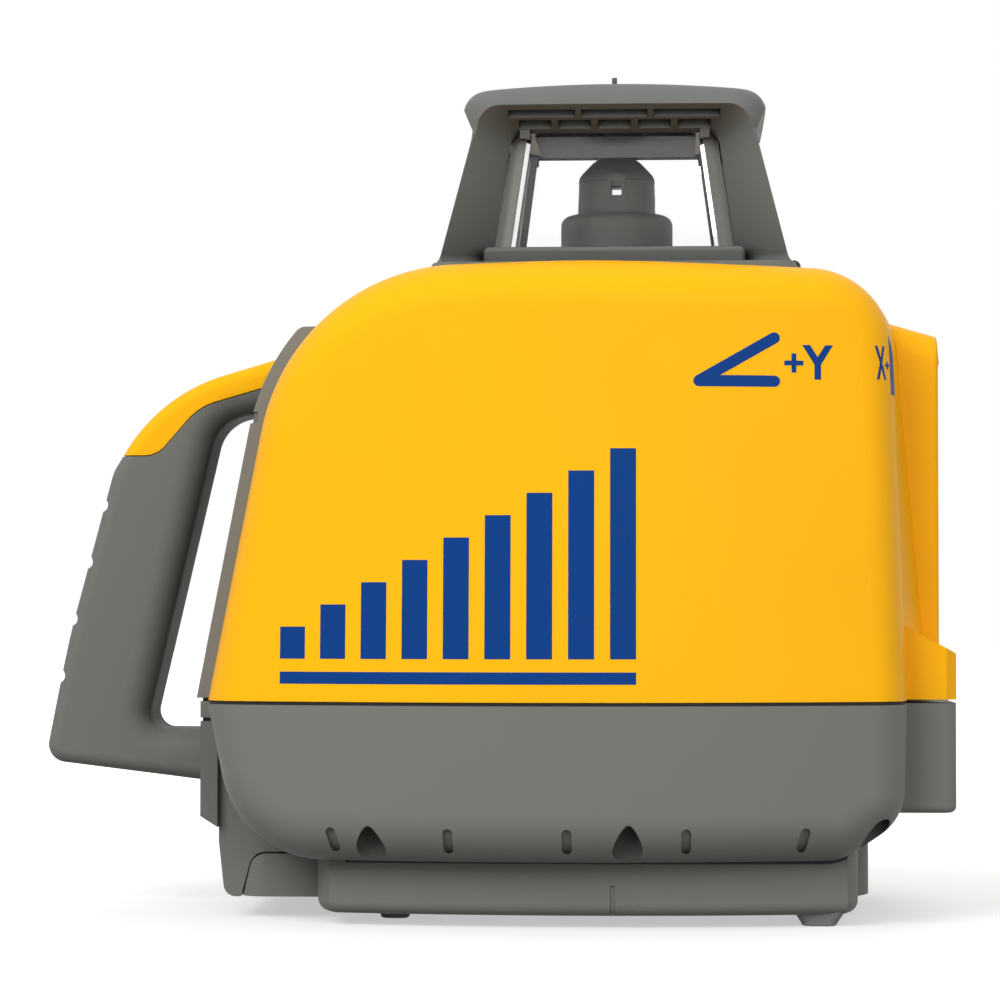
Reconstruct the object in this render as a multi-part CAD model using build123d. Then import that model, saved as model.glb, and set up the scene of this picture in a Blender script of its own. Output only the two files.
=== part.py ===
from build123d import *
import os
from math import cos, radians, tan

# Dual grade rotating laser, in millimetres and degrees.
# X runs from the handle to the control panel, Y from the front to the back, Z up from the feet.
# The rotor axis is the Z axis and the tripod thread opens at the origin.

# Fits and fasteners
running_gap = 0.06
door_gap = 0.5
screw_radius = 2.0
screw_clearance = 0.3
screw_head_radius = 3.6
screw_head_height = 2.6
small_screw_radius = 1.8
small_head_radius = 3.2
overcut = 1.0

# Housing
body_depth = 198.0
body_left = -115.5
body_right = 83.0
body_bottom = 19.0
body_top = 188.8
parting = 63.5
wall = 3.0
gasket_thick = 1.0
gasket_inset = 0.5
gasket_lip = 0.4
top_crown = 2.4
top_crown_shift = 10.0
top_crown_radius = 600.0
left_lean = 11.0
right_lean = 1.8
face_lean = 4.0
lower_lean = 2.0
lower_left_lean = 12.0
lower_right_lean = 1.0
lower_slope = 32.0
lower_slope_in = 18.6
crown_radius = 280.0
edge_radius = 14.0
top_left_radius = 58.0
top_right_radius = 24.0
low_left_radius = 30.0
low_right_radius = 16.0
low_slope_radius = 16.0
head_opening_radius = 33.0
flare_out = 8.0
flare_lean = 5.0
flare_width = 17.0
flare_root = 25.0
flare_sink = 0.3
cable_hole_radius = 6.0
cable_hole_rise = 36.0

# Screw wells in the lower housing, measured in from the housing's sides
well_radius = 4.2
well_boss_radius = 6.4
well_drop = 17.0
well_left_in = 48.5
well_left_depth_in = 10.5
well_right_in = 9.4
well_right_depth_in = 23.0
well_front_x = 4.5
well_front_in = 6.4
boss_radius = 5.5
boss_rise = 18.0
screw_rise = 11.0
boss_web = 3.0

# Moulded slots along the lower edge
slot_first = -78.5
slot_pitch = 33.1
slot_count = 5
slot_width = 2.7
slot_low = 4.2
slot_high = 8.6
slot_depth = 1.5
slot_lean = 15.0

# Side block with the second thread, and its ears on the upper housing
side_reach = 15.1
side_half_width = 60.0
side_low = 31.6
side_corner_radius = 4.0
side_edge_radius = 2.0
side_boss_radius = 15.5
side_insert_radius = 11.5
side_insert_length = 26.0
ear_width = 13.0
ear_height = 21.2
ear_step = 13.2
ear_chamfer = 3.0
thread_radius = 7.94
thread_length = 16.0

# Base
tray_bottom = 3.4
tray_gap = 0.4
tray_left = -85.0
tray_right = 69.7
tray_half_depth = 79.0
tray_corner_radius = 20.0
tray_bow_radius = 330.0
tray_bow_shift = 6.0
tray_edge_radius = 3.6
rib_half_depth = 50.0
rib_left_in = 6.0
rib_right_in = 8.6
rib_bottom = 6.3
rib_left_radius = 8.0
rib_right_radius = 24.0
tray_rise = 30.0
tray_end_low = 5.35
tray_end_high = 10.35
tray_end_radius = 4.5
axis_groove_width = 1.2
axis_groove_depth = 2.0
axis_groove_top = 12.0
insert_radius = 16.0
insert_chamfer = 0.8
foot_radius = 7.5
foot_left_radius = 6.0
foot_round = 2.0
foot_seat = 2.0
foot_right_in = 11.2
foot_right_depth_in = 17.0
foot_left_in = 21.0
foot_left_depth_in = 35.0

# Spine of the lower housing behind the handle's foot
spine_out = 0.2
spine_half_width = 46.0
spine_low = 6.0
spine_shoulder = 22.0
spine_toe_in = 1.6
spine_toe_end = 6.4
spine_back_in = 9.9
spine_shoulder_radius = 2.0
spine_toe_radius = 3.6
spine_tip_radius = 0.5
spine_turn_radius = 5.0
spine_in = 34.0
ledge_thick = 4.8

# Handle side: proud rim and hand recess
strip_depth = 6.5
strip_half_width = 49.0
strip_top_drop = 16.3
tub_depth = 23.0
tub_half_width = 38.0
tub_rise = 5.0
tub_top_drop = 42.8
notch_drop = 42.9
notch_height = 3.4
notch_depth = 1.8
notch_length = 5.0
strip_round = 4.0

# Handle, measured out from the housing's left side, down from its top and down from the seam
handle_half_width = 17.0
handle_end_in = 23.5
handle_foot_in = 10.5
shoulder_out = 22.7
outer_high_out = 36.9
outer_middle_out = 50.4
outer_low_out = 57.5
inner_high_out = 5.5
inner_low_out = 27.1
arm_top_drop = 20.2
shoulder_drop = 33.9
arm_corner_drop = 57.4
outer_middle_rise = 17.7
arm_low_drop = 42.0
arm_end_drop = 36.2
foot_bar_top = 9.2
foot_bar_corner = 18.7
foot_bar_end = 27.1
shoulder_radius = 52.0
outer_high_radius = 12.0
outer_middle_radius = 300.0
outer_low_radius = 5.5
inner_high_radius = 12.0
inner_low_radius = 5.0
outer_round = 4.0
grip_round = 8.0
groove_count = 4
groove_pitch = 17.2
groove_rise = 5.7
groove_radius = 2.0
groove_in = 0.6
handle_plate_thick = 5.1
handle_plate_top = 5.8
handle_plate_low = 36.7
handle_plate_toe = 33.5
handle_bolt_y = 34.0
handle_bolt_drops = (30.0, 13.0)
handle_bolt_depth = 7.0
handle_bolt_seat = 1.5
cap_end_drop = 25.1
cap_bend_drop = 38.1
cap_foot_drop = 52.8
cap_bend_out = 10.5
cap_foot_out = 23.3
cap_bend_radius = 18.0
cap_foot_radius = 8.0
cap_seam_gap = 0.3

# Rotor
drum_radius = 17.0
drum_height = 15.5
drum_clear = 1.0
drum_bevel = 1.5
prism_radius = 11.9
prism_height = 10.1
prism_taper = 0.4
prism_flat_in = 0.65
rotor_cap_height = 7.4
rotor_cap_rim = 2.0
rotor_cap_shoulder = 7.3
rotor_cap_crown = 5.6
rotor_cap_bevel = 1.2
rotor_rounds = (0.4, 0.6, 3.0, 0.8, 0.2)
rotor_cap_rounds = (0.3, 3.5, 2.5, 1.5)
beam_rise = 2.1
beam_hole_radius = 2.0
slot_half_width = 1.6
slot_rise = 5.4
slot_thick = 4.25
prism_pocket_half = 5.0
prism_gap = 0.1
prism_corner = 3.9
prism_sink = 1.5
spindle_radius = 6.0
spindle_bore = 4.0
spindle_seat = 4.0

# Head: cage, lantern and roof
cage_rise = 2.2
cage_half_low = 53.0
cage_half_high = 41.6
cage_radius_low = 7.0
cage_radius_high = 5.0
flange_out = 5.0
flange_step = 1.4
flange_radius = 9.0
flange_step_radius = 8.0
flange_root = 4.8
flange_lip = 0.2
cage_hole_radius = 30.0
roof_out = 3.2
roof_radius = 11.0
roof_sphere = 420.0
roof_crown_rise = 11.4
roof_round = 7.0
roof_under_out = 0.8
roof_under_drop = 5.5
lantern_rise = 2.0
lantern_half_low = 35.4
lantern_half_high = 30.0
lantern_bevel = 4.1
glass_thick = 3.0
lantern_gap = 1.8
lantern_corner_radius = 3.5
seal_thick = 1.0
seal_hole_radius = 31.4
cover_thick = 2.5
cover_clear = 0.5
trap_half = 24.0
trap_thick = 1.2
trap_clear = 3.8
trap_radius = 3.0
window_near_in = 2.0
window_near_narrow = 2.7
window_near_low = 1.6
window_near_high = 3.1
window_far_out = 7.0
window_far_wide = 7.2
window_far_low = 0.6
window_far_high = 11.0
window_low_radius = 2.0
window_near_radius = 2.0
window_far_radius = 20.0
sill_half_width = 38.5
sill_in = 1.4
sill_out = 10.1
sill_height = 5.0
sill_end_radius = 2.0
sill_edge_radius = 1.5
front_pocket_count = 3
front_pocket_pitch = 21.4
front_pocket_half = 9.8
front_pocket_in = 2.5
front_pocket_depth = 3.3
front_pocket_top = 5.0
back_pocket_count = 5
back_pocket_pitch = 11.75
back_pocket_half = 4.85
back_pocket_in = 7.0
back_pocket_depth = 3.8
back_pocket_top = 4.5
pocket_drop = 9.0
clip_at = 26.6
clip_half = 1.5
clip_in = 0.8
clip_depth = 3.0
clip_low = 2.7
clip_high = 1.0
sight_pin_radius = 0.75
sight_pin_in = 10.0
sight_pin_rise = 0.5
sight_pin_root = 3.6
lens_radius = 2.0
lens_side_in = 0.6
lens_front_in = 6.0
lens_root = 2.5
lens_rise = -1.6

# Grade mechanism, measured from the pivot height
pivot_drop = 43.8
carrier_hub_radius = 20.0
carrier_hub_low = 11.0
carrier_hub_high = 9.0
bearing_tube_radius = 15.5
bearing_tube_top = 24.0
barrel_tube_radius = 12.0
barrel_tube_low = 40.0
barrel_radius = 8.0
barrel_bore = 6.0
barrel_low = 38.0
barrel_top = 3.5
barrel_bore_low = 5.0
light_hole_radius = 6.0
lens_low = 2.0
lens_thick = 3.0
vial_block_half = 15.0
vial_block_low = 33.0
vial_block_high = 23.0
vial_radius = 4.0
vial_half_length = 12.0
bearing_radius = 12.0
bearing_thick = 5.0
bearing_rises = (7.0, 18.0)
spindle_foot = 5.5
pulley_rise = 26.0
pulley_width = 5.2
pulley_flange = 0.8
pulley_lip = 1.5
pulley_radius = 15.0
motor_pulley_radius = 6.0
motor_pulley_lip = 1.2
motor_offset = 30.0
motor_can_radius = 8.5
motor_can_low = 8.5
motor_neck_radius = 4.0
motor_shaft_radius = 1.5
motor_shaft_low = 13.0
motor_shelf_radius = 10.0
motor_shelf_half = 7.0
motor_shelf_low = 20.0
belt_thick = 1.2
belt_width = 4.4
ring_inner = 36.0
ring_width = 6.0
ring_half_height = 5.0
inner_pin_radius = 2.5
inner_pin_start = 13.0
outer_pin_radius = 3.0
inner_bush_wall = 1.0
outer_bush_wall = 2.0
pin_end_gap = 0.2
bush_end_gap = 0.3
arm_gap = 4.0
arm_thick = 9.0
arm_half_width = 13.0
arm_eye_radius = 9.0
frame_thick = 4.0
frame_front = 42.0
frame_back = 64.0
frame_hole_radius = 22.0
frame_margin = 3.0
post_in = 4.0
post_front = 34.0
post_back = 54.0
post_radius = 5.5
post_hole_depth = 8.0
post_screw_depth = 5.0
x_plunger_at = 29.0
y_plunger_at = 52.0
x_lever_rise = 10.0
x_lever_half = 5.0
y_lever_drop = 4.0
y_lever_half = 6.0
lever_thick = 4.0
lever_past = 5.0
plunger_radius = 2.0
plunger_gap = 0.4
plunger_low = 12.0
grade_motor_radius = 10.0
x_motor_height = 28.0
y_motor_height = 30.0
grade_motor_floor = 4.0

# Control panel
panel_half_width = 45.0
panel_rise = 2.5
panel_reach = 11.2
panel_root = 7.0
panel_corner_radius = 7.0
panel_edge_radius = 1.5
hood_height = 10.4
hood_reach = 0.8
hood_in = 1.0
hood_gap = 3.0
hood_step = 2.9
panel_slope = 16.0
fascia_in = 4.0
fascia_thick = 2.0
fascia_margin = 6.0
fascia_sill = 6.5
fascia_gap = 0.1
board_in = 1.5
board_thick = 1.6
board_margin = 0.4
key_half_width = 6.5
key_half_height = 4.5
key_radius = 3.0
key_pitch_y = 26.0
key_pitch_z = 15.0
key_first = 7.0
key_proud = 1.8
key_round = 0.8
key_flange = 1.0
key_flange_thick = 0.5
key_hole_gap = 0.3
key_back_gap = 0.05
display_half_width = 30.0
display_height = 34.0
display_rise = 8.0
display_rebate = 3.0
display_step = 1.0
display_top_margin = 4.0
display_module_in = 1.0

# Batteries and door
cell_radius = 16.75
cell_length = 61.5
cell_nub_radius = 4.5
cell_nub_length = 1.5
cell_gap = 0.15
cell_spread = 0.5
holder_wall = 2.25
holder_floor = 1.5
holder_roof = 1.7
holder_front = 39.0
holder_back_in = 11.0
holder_end_wall = 2.5
holder_chamfer = 9.0
contact_radius = 9.0
contact_thick = 1.0
board_half_width = 35.0
main_board_front = 38.0
main_board_back = 78.0
chip_height = 4.0
chips = (
    (-18, -20, 14, 14, 0.45),
    (12, -12, 10, 10, 0.4),
    (-14, 24, 18, 12, 0.75),
    (18, 40, 12, 20, 1),
)
frame_clear = 1.4
door_margin = 0.5
door_low_rise = 5.0
door_axis_drop = 5.0
door_axis_in = 4.4
door_thick = 3.2
pin_radius = 1.2
pin_in = 1.5
lug_radius = 2.4
lug_at = 24.0
lug_half_width = 3.0
lug_gap = 0.4
lug_root = 2.2
hinge_groove = 6.0
latch_rise = 14.0
latch_radius = 8.0
latch_seat_in = 0.7
latch_thick = 2.3
latch_stem_radius = 3.0
latch_slot_half = 6.0
latch_slot_width = 2.0
latch_slot_depth = 1.2
latch_rim_gap = 0.3
cam_half_length = 7.0
cam_thick = 1.7
cam_gap = 0.5

# Places that follow from the sizes
middle = (body_left + body_right) / 2
half_depth = body_depth / 2
seam_low = parting - gasket_thick / 2
seam_high = parting + gasket_thick / 2
tray_top = body_bottom - tray_gap
side_face = body_right + side_reach
side_thread_height = (side_low + seam_low) / 2
spine_face = body_left - spine_out
plate_face = spine_face - handle_plate_thick
well_top = seam_low - well_drop
well_spots = [
    (body_left + well_left_in, well_left_depth_in - half_depth),
    (body_left + well_left_in, half_depth - well_left_depth_in),
    (well_front_x, well_front_in - half_depth),
    (body_right - well_right_in, well_right_depth_in - half_depth),
    (body_right - well_right_in, half_depth - well_right_depth_in),
]
foot_spots = []
for sign in (-1, 1):
    right_depth = sign * (tray_half_depth - foot_right_depth_in)
    left_depth = sign * (tray_half_depth - foot_left_depth_in)
    foot_spots.append((tray_right - foot_right_in, right_depth, foot_radius))
    foot_spots.append((tray_left + foot_left_in, left_depth, foot_left_radius))
handle_bolts = []
for y in (-handle_bolt_y, handle_bolt_y):
    handle_bolts += [(y, seam_low - drop) for drop in handle_bolt_drops]

cage_low = body_top + cage_rise
lantern_low = cage_low + lantern_rise
drum_bottom = lantern_low + drum_clear
drum_top = drum_bottom + drum_height
rotor_seam = drum_top + prism_height
rotor_top = rotor_seam + rotor_cap_height
lantern_high = rotor_top + trap_clear + trap_thick
cage_high = lantern_high + cover_thick + cover_clear
roof_half = cage_half_high + roof_out
lens_x = cage_half_low - lens_side_in
lens_y = lens_front_in - cage_half_low

pivot_height = body_top - pivot_drop
pulley_low = pivot_height + pulley_rise
pulley_high = pulley_low + pulley_width + 2 * pulley_flange
ring_outer = ring_inner + ring_width
arm_inner = ring_outer + arm_gap
arm_outer = arm_inner + arm_thick

cell_height = body_bottom + wall + holder_floor + cell_gap + cell_radius
cell_offset = cell_radius + cell_spread
holder_half_width = 2 * cell_radius + holder_wall + cell_spread / 2
holder_top = cell_height + cell_radius + cell_gap + holder_roof
main_board_top = holder_top + board_thick
frame_low = main_board_top + chip_height + frame_clear
frame_top = frame_low + frame_thick
post_x = arm_inner + post_in
post_spots = [(x, y) for x in (-post_x, post_x) for y in (-post_front, post_back)]
door_half_width = holder_half_width + door_margin
door_low = body_bottom + door_low_rise
door_axis_height = seam_low - door_axis_drop
door_axis_depth = half_depth - door_axis_in
door_inside = door_axis_depth - door_thick
latch_height = door_low + latch_rise
lug_spans = [(x - lug_half_width, x + lug_half_width) for x in (-lug_at, lug_at)]
opening_half_width = door_half_width + door_gap

panel_low = seam_high + panel_rise
panel_face = body_right + panel_reach
fascia_face = panel_face - fascia_in
fascia_back = fascia_face - fascia_thick
fascia_half = panel_half_width - fascia_margin
fascia_low = panel_low + fascia_sill
key_row = fascia_low + key_first
display_low = key_row + 2 * key_pitch_z + display_rise
display_high = display_low + display_height
fascia_high = display_high + display_top_margin
hood_low = fascia_high + hood_gap
panel_high = hood_low + hood_height
board_face = body_right + board_in
key_spots = {
    "key_power": (-key_pitch_y, key_row),
    "key_menu": (key_pitch_y, key_row),
    "key_up": (0, key_row + 2 * key_pitch_z),
    "key_down": (0, key_row),
    "key_left": (-key_pitch_y, key_row + key_pitch_z),
    "key_right": (key_pitch_y, key_row + key_pitch_z),
    "key_enter": (0, key_row + key_pitch_z),
}
far = 2 * body_depth


def block(x0, x1, y0, y1, z0, z1):
    """Box between two corners."""
    return Pos((x0 + x1) / 2, (y0 + y1) / 2, (z0 + z1) / 2) * Box(abs(x1 - x0), abs(y1 - y0), abs(z1 - z0))


def rod(x, y, z0, z1, r):
    """Upright cylinder."""
    return Pos(x, y, (z0 + z1) / 2) * Cylinder(r, z1 - z0)


def rod_x(x0, x1, y, z, r):
    """Cylinder along X."""
    return Pos((x0 + x1) / 2, y, z) * Rot(0, 90, 0) * Cylinder(r, abs(x1 - x0))


def rod_y(x, y0, y1, z, r):
    """Cylinder along Y."""
    return Pos(x, (y0 + y1) / 2, z) * Rot(90, 0, 0) * Cylinder(r, abs(y1 - y0))


def side_plate(face, half_width):
    """Sketch in X and Z pulled out to both sides."""
    return extrude(Plane.XZ * face, amount=half_width, both=True)


def outline(points, radii=None):
    """Closed sketch through the points, with a radius at each corner or none."""
    if radii is None:
        return make_face(Polyline(*points, close=True))
    return make_face(FilletPolyline(*points, radius=radii, close=True))


def window(x0, x1, z0, z1):
    """Rectangle between two corners of a sketch."""
    return Pos((x0 + x1) / 2, (z0 + z1) / 2) * Rectangle(x1 - x0, z1 - z0)


def frustum(half0, z0, half1, z1, r0, r1):
    """Square frustum with rounded upright edges."""
    low = Pos(0, 0, z0) * RectangleRounded(2 * half0, 2 * half0, r0)
    high = Pos(0, 0, z1) * RectangleRounded(2 * half1, 2 * half1, r1)
    return loft([low.face(), high.face()], ruled=True)


def turns(shape):
    """The shape at the four quarter turns about the rotor axis."""
    return [Rot(0, 0, 90 * i) * shape for i in range(4)]


def upper_face(inset, out=0, lean=right_lean):
    """Front outline of the upper housing, moved inward, with its right side moved out and leaned."""
    left = body_left + inset / cos(radians(left_lean))
    right = body_right + out - inset / cos(radians(lean))
    top = body_top - inset
    edge = top - top_crown
    rise = edge - seam_low
    points = [
        (left, seam_low),
        (left + rise * tan(radians(left_lean)), edge),
        (middle + top_crown_shift, top),
        (right - rise * tan(radians(lean)), edge),
        (right, seam_low),
    ]
    side = FilletPolyline(*points, radius=[top_left_radius - inset, top_crown_radius, top_right_radius - inset])
    return make_face(side + Line(points[-1], points[0]))


def lower_face(inset):
    """Front outline of the lower housing, moved inward."""
    left = body_left + inset
    right = body_right - inset
    bottom = body_bottom + inset
    drop = seam_low - bottom
    slope_end = body_right - lower_slope_in - inset * tan(radians(lower_slope / 2))
    heel = bottom + (right - slope_end) * tan(radians(lower_slope))
    points = [
        (left, seam_low),
        (left + drop * tan(radians(lower_left_lean)), bottom),
        (slope_end, bottom),
        (right - (seam_low - heel) * tan(radians(lower_right_lean)), heel),
        (right, seam_low),
    ]
    radii = [low_left_radius - inset, low_slope_radius - inset, low_right_radius - inset]
    side = FilletPolyline(*points, radius=radii)
    return make_face(side + Line(points[-1], points[0]))


def crowned(face, inset, lean, low, high):
    """Outline pulled through the depth, crowned front and back, with rounded edges."""
    solid = side_plate(face, body_depth)
    at_seam = crown_radius - inset / cos(radians(lean))
    r_low = at_seam - abs(seam_low - low) * tan(radians(lean))
    r_high = at_seam - abs(high - seam_low) * tan(radians(lean))
    for side in (1, -1):
        centre = side * (crown_radius - half_depth)
        solid = solid & Pos(middle, centre, (low + high) / 2) * Cone(r_low, r_high, high - low)
    edges = ShapeList()
    for curved in solid.faces().filter_by(GeomType.CONE):
        edges += [e for e in curved.edges() if abs(e.center().Z - seam_low) > running_gap]
    return fillet(edges, edge_radius - inset)


def upper_block(inset):
    """Solid body of the upper housing."""
    return crowned(upper_face(inset), inset, face_lean, seam_low, body_top)


def lower_block(inset):
    """Solid body of the lower housing."""
    return crowned(lower_face(inset), inset, lower_lean, body_bottom, seam_low)


def make_flare():
    """Swelling of the upper housing towards the control panel's sides and over its top."""
    end = window(body_right - flare_root, far, seam_high, body_top)
    swell = upper_face(0, flare_out, flare_lean)
    near = Plane.XZ.offset(panel_half_width) * (swell & end)
    away = Plane.XZ.offset(panel_half_width + flare_width) * (upper_face(flare_sink) & end)
    side = loft([near.face(), away.face()], ruled=True)
    over = side_plate(swell & window(body_right - flare_root, far, hood_low, body_top), panel_half_width)
    return side + mirror(side, Plane.XZ) + over


upper_outer = upper_block(0) + make_flare()
upper_inner = upper_block(wall)
lower_outer = lower_block(0)
lower_inner = lower_block(wall)


def recess(half_width, rise, drop, face):
    """Block of the hand recess between two heights, as deep as its sketch."""
    return side_plate(face & window(-far, 0, seam_high + rise, body_top - drop), half_width)


tub_outer = recess(tub_half_width + wall, tub_rise, tub_top_drop, upper_face(0) - upper_face(tub_depth))
tub_inner = recess(tub_half_width, tub_rise + wall, tub_top_drop + wall,
                   upper_face(-strip_depth - overcut) - upper_face(tub_depth - wall))


def make_handle_frame():
    """Recessed liner of the handle side with its proud rim."""
    frame = recess(strip_half_width, 0, strip_top_drop, upper_face(-strip_depth) - upper_face(0))
    frame = fillet(frame.edges().filter_by(Axis.Y).group_by(Axis.Z)[-1].sort_by(Axis.X)[0], strip_round)
    frame = frame + tub_outer - tub_inner
    z = body_top - notch_drop
    x = body_left - strip_depth / cos(radians(left_lean)) + (z - seam_low) * tan(radians(left_lean))
    for side in (-1, 1):
        y = side * strip_half_width
        frame -= block(x - overcut, x + notch_depth, y, y - side * notch_length,
                       z - notch_height / 2, z + notch_height / 2)
    return frame


def boss(x, y, low, high, radius):
    """Screw boss with a web out to the front or back wall."""
    end = body_depth if y > 0 else -body_depth
    return rod(x, y, low, high, radius) + block(x - boss_web / 2, x + boss_web / 2, y, end, low, high)


def make_upper_housing():
    """Upper shell with the head opening, the recess opening and the two side ears."""
    ear_root = body_right - 2 * wall
    ear_top = seam_high + ear_height
    ear_face = outline([(ear_root, seam_high), (side_face, seam_high), (side_face, seam_high + ear_step),
                        (body_right, ear_top), (ear_root, ear_top)])
    ear = Pos(0, side_half_width - ear_width / 2, 0) * side_plate(ear_face, ear_width / 2)
    ear = chamfer(ear.faces().sort_by(Axis.X)[-1].edges().filter_by(Axis.Z), ear_chamfer)
    shell = upper_outer - upper_inner
    for piece in (ear, mirror(ear, Plane.XZ)):
        shell += piece - upper_inner
    for x, y in well_spots:
        shell += boss(x, y, seam_low, seam_high + boss_rise, boss_radius) & upper_outer
    shell -= block(-far, far, -far, far, seam_low - overcut, seam_high)
    for x, y in well_spots:
        shell -= rod(x, y, seam_low, seam_high + screw_rise + overcut, screw_radius)
    shell -= rod(0, 0, pulley_high, cage_high, head_opening_radius)
    shell -= tub_outer
    return shell - cable_hole()


def cable_hole():
    """Passage of the panel's cable into the housing."""
    return rod_x(body_right - 4 * wall, board_face + overcut, 0, seam_high + cable_hole_rise, cable_hole_radius)


def make_gasket():
    """Seal between the two shells."""
    ring = upper_block(gasket_inset) - upper_block(wall - gasket_lip)
    ring = ring & block(-far, far, -far, far, seam_low, seam_high)
    for x, y in well_spots:
        ring -= rod(x, y, seam_low - overcut, seam_high + overcut, screw_radius + screw_clearance)
    return ring


def hinge_rod(half_length, radius):
    """Cylinder on the battery door's hinge axis."""
    return rod_x(-half_length, half_length, door_axis_depth, door_axis_height, radius)


def hinge_cut(half_length):
    """Right-angled groove that opens outward from the hinge axis."""
    face = outline([(0, 0), (-hinge_groove, hinge_groove), (hinge_groove, hinge_groove)])
    groove = extrude(face, amount=half_length, both=True)
    return Pos(0, door_axis_depth, door_axis_height) * Rot(0, 90, 0) * groove


def make_lower_housing():
    """Lower shell with the handle spine, the side block, posts and screw wells."""
    spine_points = [
        (spine_face, seam_low), (spine_face, spine_shoulder), (body_left + spine_toe_in, spine_low),
        (body_left + spine_toe_end, spine_low),
        (body_left + spine_back_in, body_bottom), (body_left + spine_in, body_bottom),
        (body_left + spine_in, seam_low),
    ]
    spine_radii = [0, spine_shoulder_radius, spine_toe_radius, spine_tip_radius, spine_turn_radius, 0, 0]
    spine = side_plate(outline(spine_points, spine_radii), spine_half_width)
    ledge = block(plate_face, body_left + wall, -strip_half_width, strip_half_width,
                  seam_low - ledge_thick, seam_low)
    side = block(body_right - 3 * wall, side_face, -side_half_width, side_half_width, side_low, seam_low)
    side = fillet(side.edges().filter_by(Axis.Z).group_by(Axis.X)[-1], side_corner_radius)
    side = fillet(side.faces().sort_by(Axis.Z)[0].edges().group_by(Axis.X)[-1], side_edge_radius)
    shell = (lower_outer + spine + ledge + side) - lower_inner
    insert_root = side_face - side_insert_length
    shell += rod_x(insert_root, side_face, 0, side_thread_height, side_boss_radius) & lower_outer
    for x, y in well_spots:
        shell += boss(x, y, body_bottom, seam_low, well_boss_radius) & lower_outer
    for x, y in post_spots:
        post = rod(x, y, body_bottom, seam_low, post_radius) & lower_outer
        post += rod(x, y, seam_low - wall, frame_low, post_radius)
        shell += post - rod(x, y, frame_low - post_hole_depth, frame_low, small_screw_radius)
    for y, z in handle_bolts:
        shell -= rod_x(spine_face - overcut, spine_face + handle_bolt_depth + overcut, y, z, small_screw_radius)
    for x, y in well_spots:
        shell -= rod(x, y, 0, well_top, well_radius)
        shell -= rod(x, y, well_top, seam_high, screw_radius + screw_clearance)
    skin = lower_outer - lower_block(slot_depth)
    for i in range(slot_count):
        x = slot_first + slot_pitch * i
        for side in (-1, 1):
            if side > 0 and abs(x) < opening_half_width + slot_width:
                continue
            slot = block(-slot_width / 2, slot_width / 2, 0, side * body_depth, slot_low - slot_high, 0)
            for rise in (slot_low - slot_high, 0):
                slot += rod_y(0, 0, side * body_depth, rise, slot_width / 2)
            lean = slot_lean * (2 * i / (slot_count - 1) - 1) ** 3
            shell -= Pos(x, 0, body_bottom + slot_high) * Rot(0, lean, 0) * slot & skin
    shell -= rod_x(insert_root - overcut, side_face + overcut, 0, side_thread_height, side_insert_radius)
    shell -= block(-opening_half_width, opening_half_width, door_inside - 2 * wall, body_depth,
                   door_low - door_gap, door_axis_height + door_gap)
    shell -= hinge_cut(opening_half_width) + hinge_rod(opening_half_width, pin_radius + screw_clearance)
    for x0, x1 in lug_spans:
        lug = rod_x(x0, x1, door_axis_depth, door_axis_height, lug_radius)
        lug += block(x0, x1, door_axis_depth - lug_radius, door_axis_depth,
                     door_axis_height, door_axis_height + lug_root)
        shell += lug - hinge_rod(opening_half_width, pin_radius)
    return shell


def make_base_tray():
    """Base tray with the tripod bush's seat and the axis groove in front and behind."""
    plate = Pos((tray_left + tray_right) / 2, 0) * RectangleRounded(
        tray_right - tray_left, 2 * tray_half_depth, tray_corner_radius)
    for side in (-1, 1):
        centre = side * (tray_bow_radius - tray_half_depth)
        plate = plate & Pos(middle + tray_bow_shift, centre) * Circle(tray_bow_radius)
    tray = Pos(0, 0, tray_bottom) * extrude(plate, amount=tray_rise - tray_bottom)
    tray = fillet(tray.faces().sort_by(Axis.Z)[0].outer_wire().edges(), tray_edge_radius)
    rib_left = body_left + rib_left_in
    rib_right = body_right - rib_right_in
    rib_points = [(rib_left, -rib_half_depth), (rib_right, -rib_half_depth),
                  (rib_right, rib_half_depth), (rib_left, rib_half_depth)]
    rib = outline(rib_points, [rib_left_radius, rib_right_radius, rib_right_radius, rib_left_radius])
    tray += Pos(0, 0, rib_bottom) * extrude(rib, amount=tray_rise - rib_bottom)
    tray -= lower_block(-tray_gap)
    under_spine = body_left + spine_in + overcut
    end_points = [
        (-far, 0), (body_left + tray_end_low, 0), (body_left + tray_end_high, tray_top),
        (under_spine, tray_top), (under_spine, far), (-far, far),
    ]
    tray -= side_plate(outline(end_points, [0, 0, tray_end_radius, 0, 0, 0]), body_depth)
    tray -= rod(0, 0, 0, body_bottom, insert_radius)
    for side in (-1, 1):
        y = side * tray_half_depth
        tray -= block(-axis_groove_width / 2, axis_groove_width / 2, y - side * axis_groove_depth, y + side,
                      0, axis_groove_top)
    for x, y, radius in foot_spots:
        tray -= rod(x, y, 0, tray_bottom + foot_seat, radius)
    return tray


def make_feet():
    """Four rounded foot pads let into the tray."""
    pads = []
    for x, y, radius in foot_spots:
        pad = rod(x, y, 0, tray_bottom + foot_seat, radius)
        pads.append(fillet(pad.faces().sort_by(Axis.Z)[0].edges(), foot_round))
    return pads


def make_tripod_insert():
    """Threaded bush of the base, drawn with a plain bore at the thread's outer diameter."""
    bush = rod(0, 0, 0, body_bottom, insert_radius)
    bush = chamfer(bush.faces().sort_by(Axis.Z)[0].edges(), insert_chamfer)
    return bush - rod(0, 0, -overcut, thread_length, thread_radius)


def make_side_insert():
    """Threaded bush of the side face for use on its side."""
    bush = rod_x(side_face - side_insert_length, side_face, 0, side_thread_height, side_insert_radius)
    return bush - rod_x(side_face - thread_length, side_face + overcut, 0, side_thread_height, thread_radius)


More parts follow.
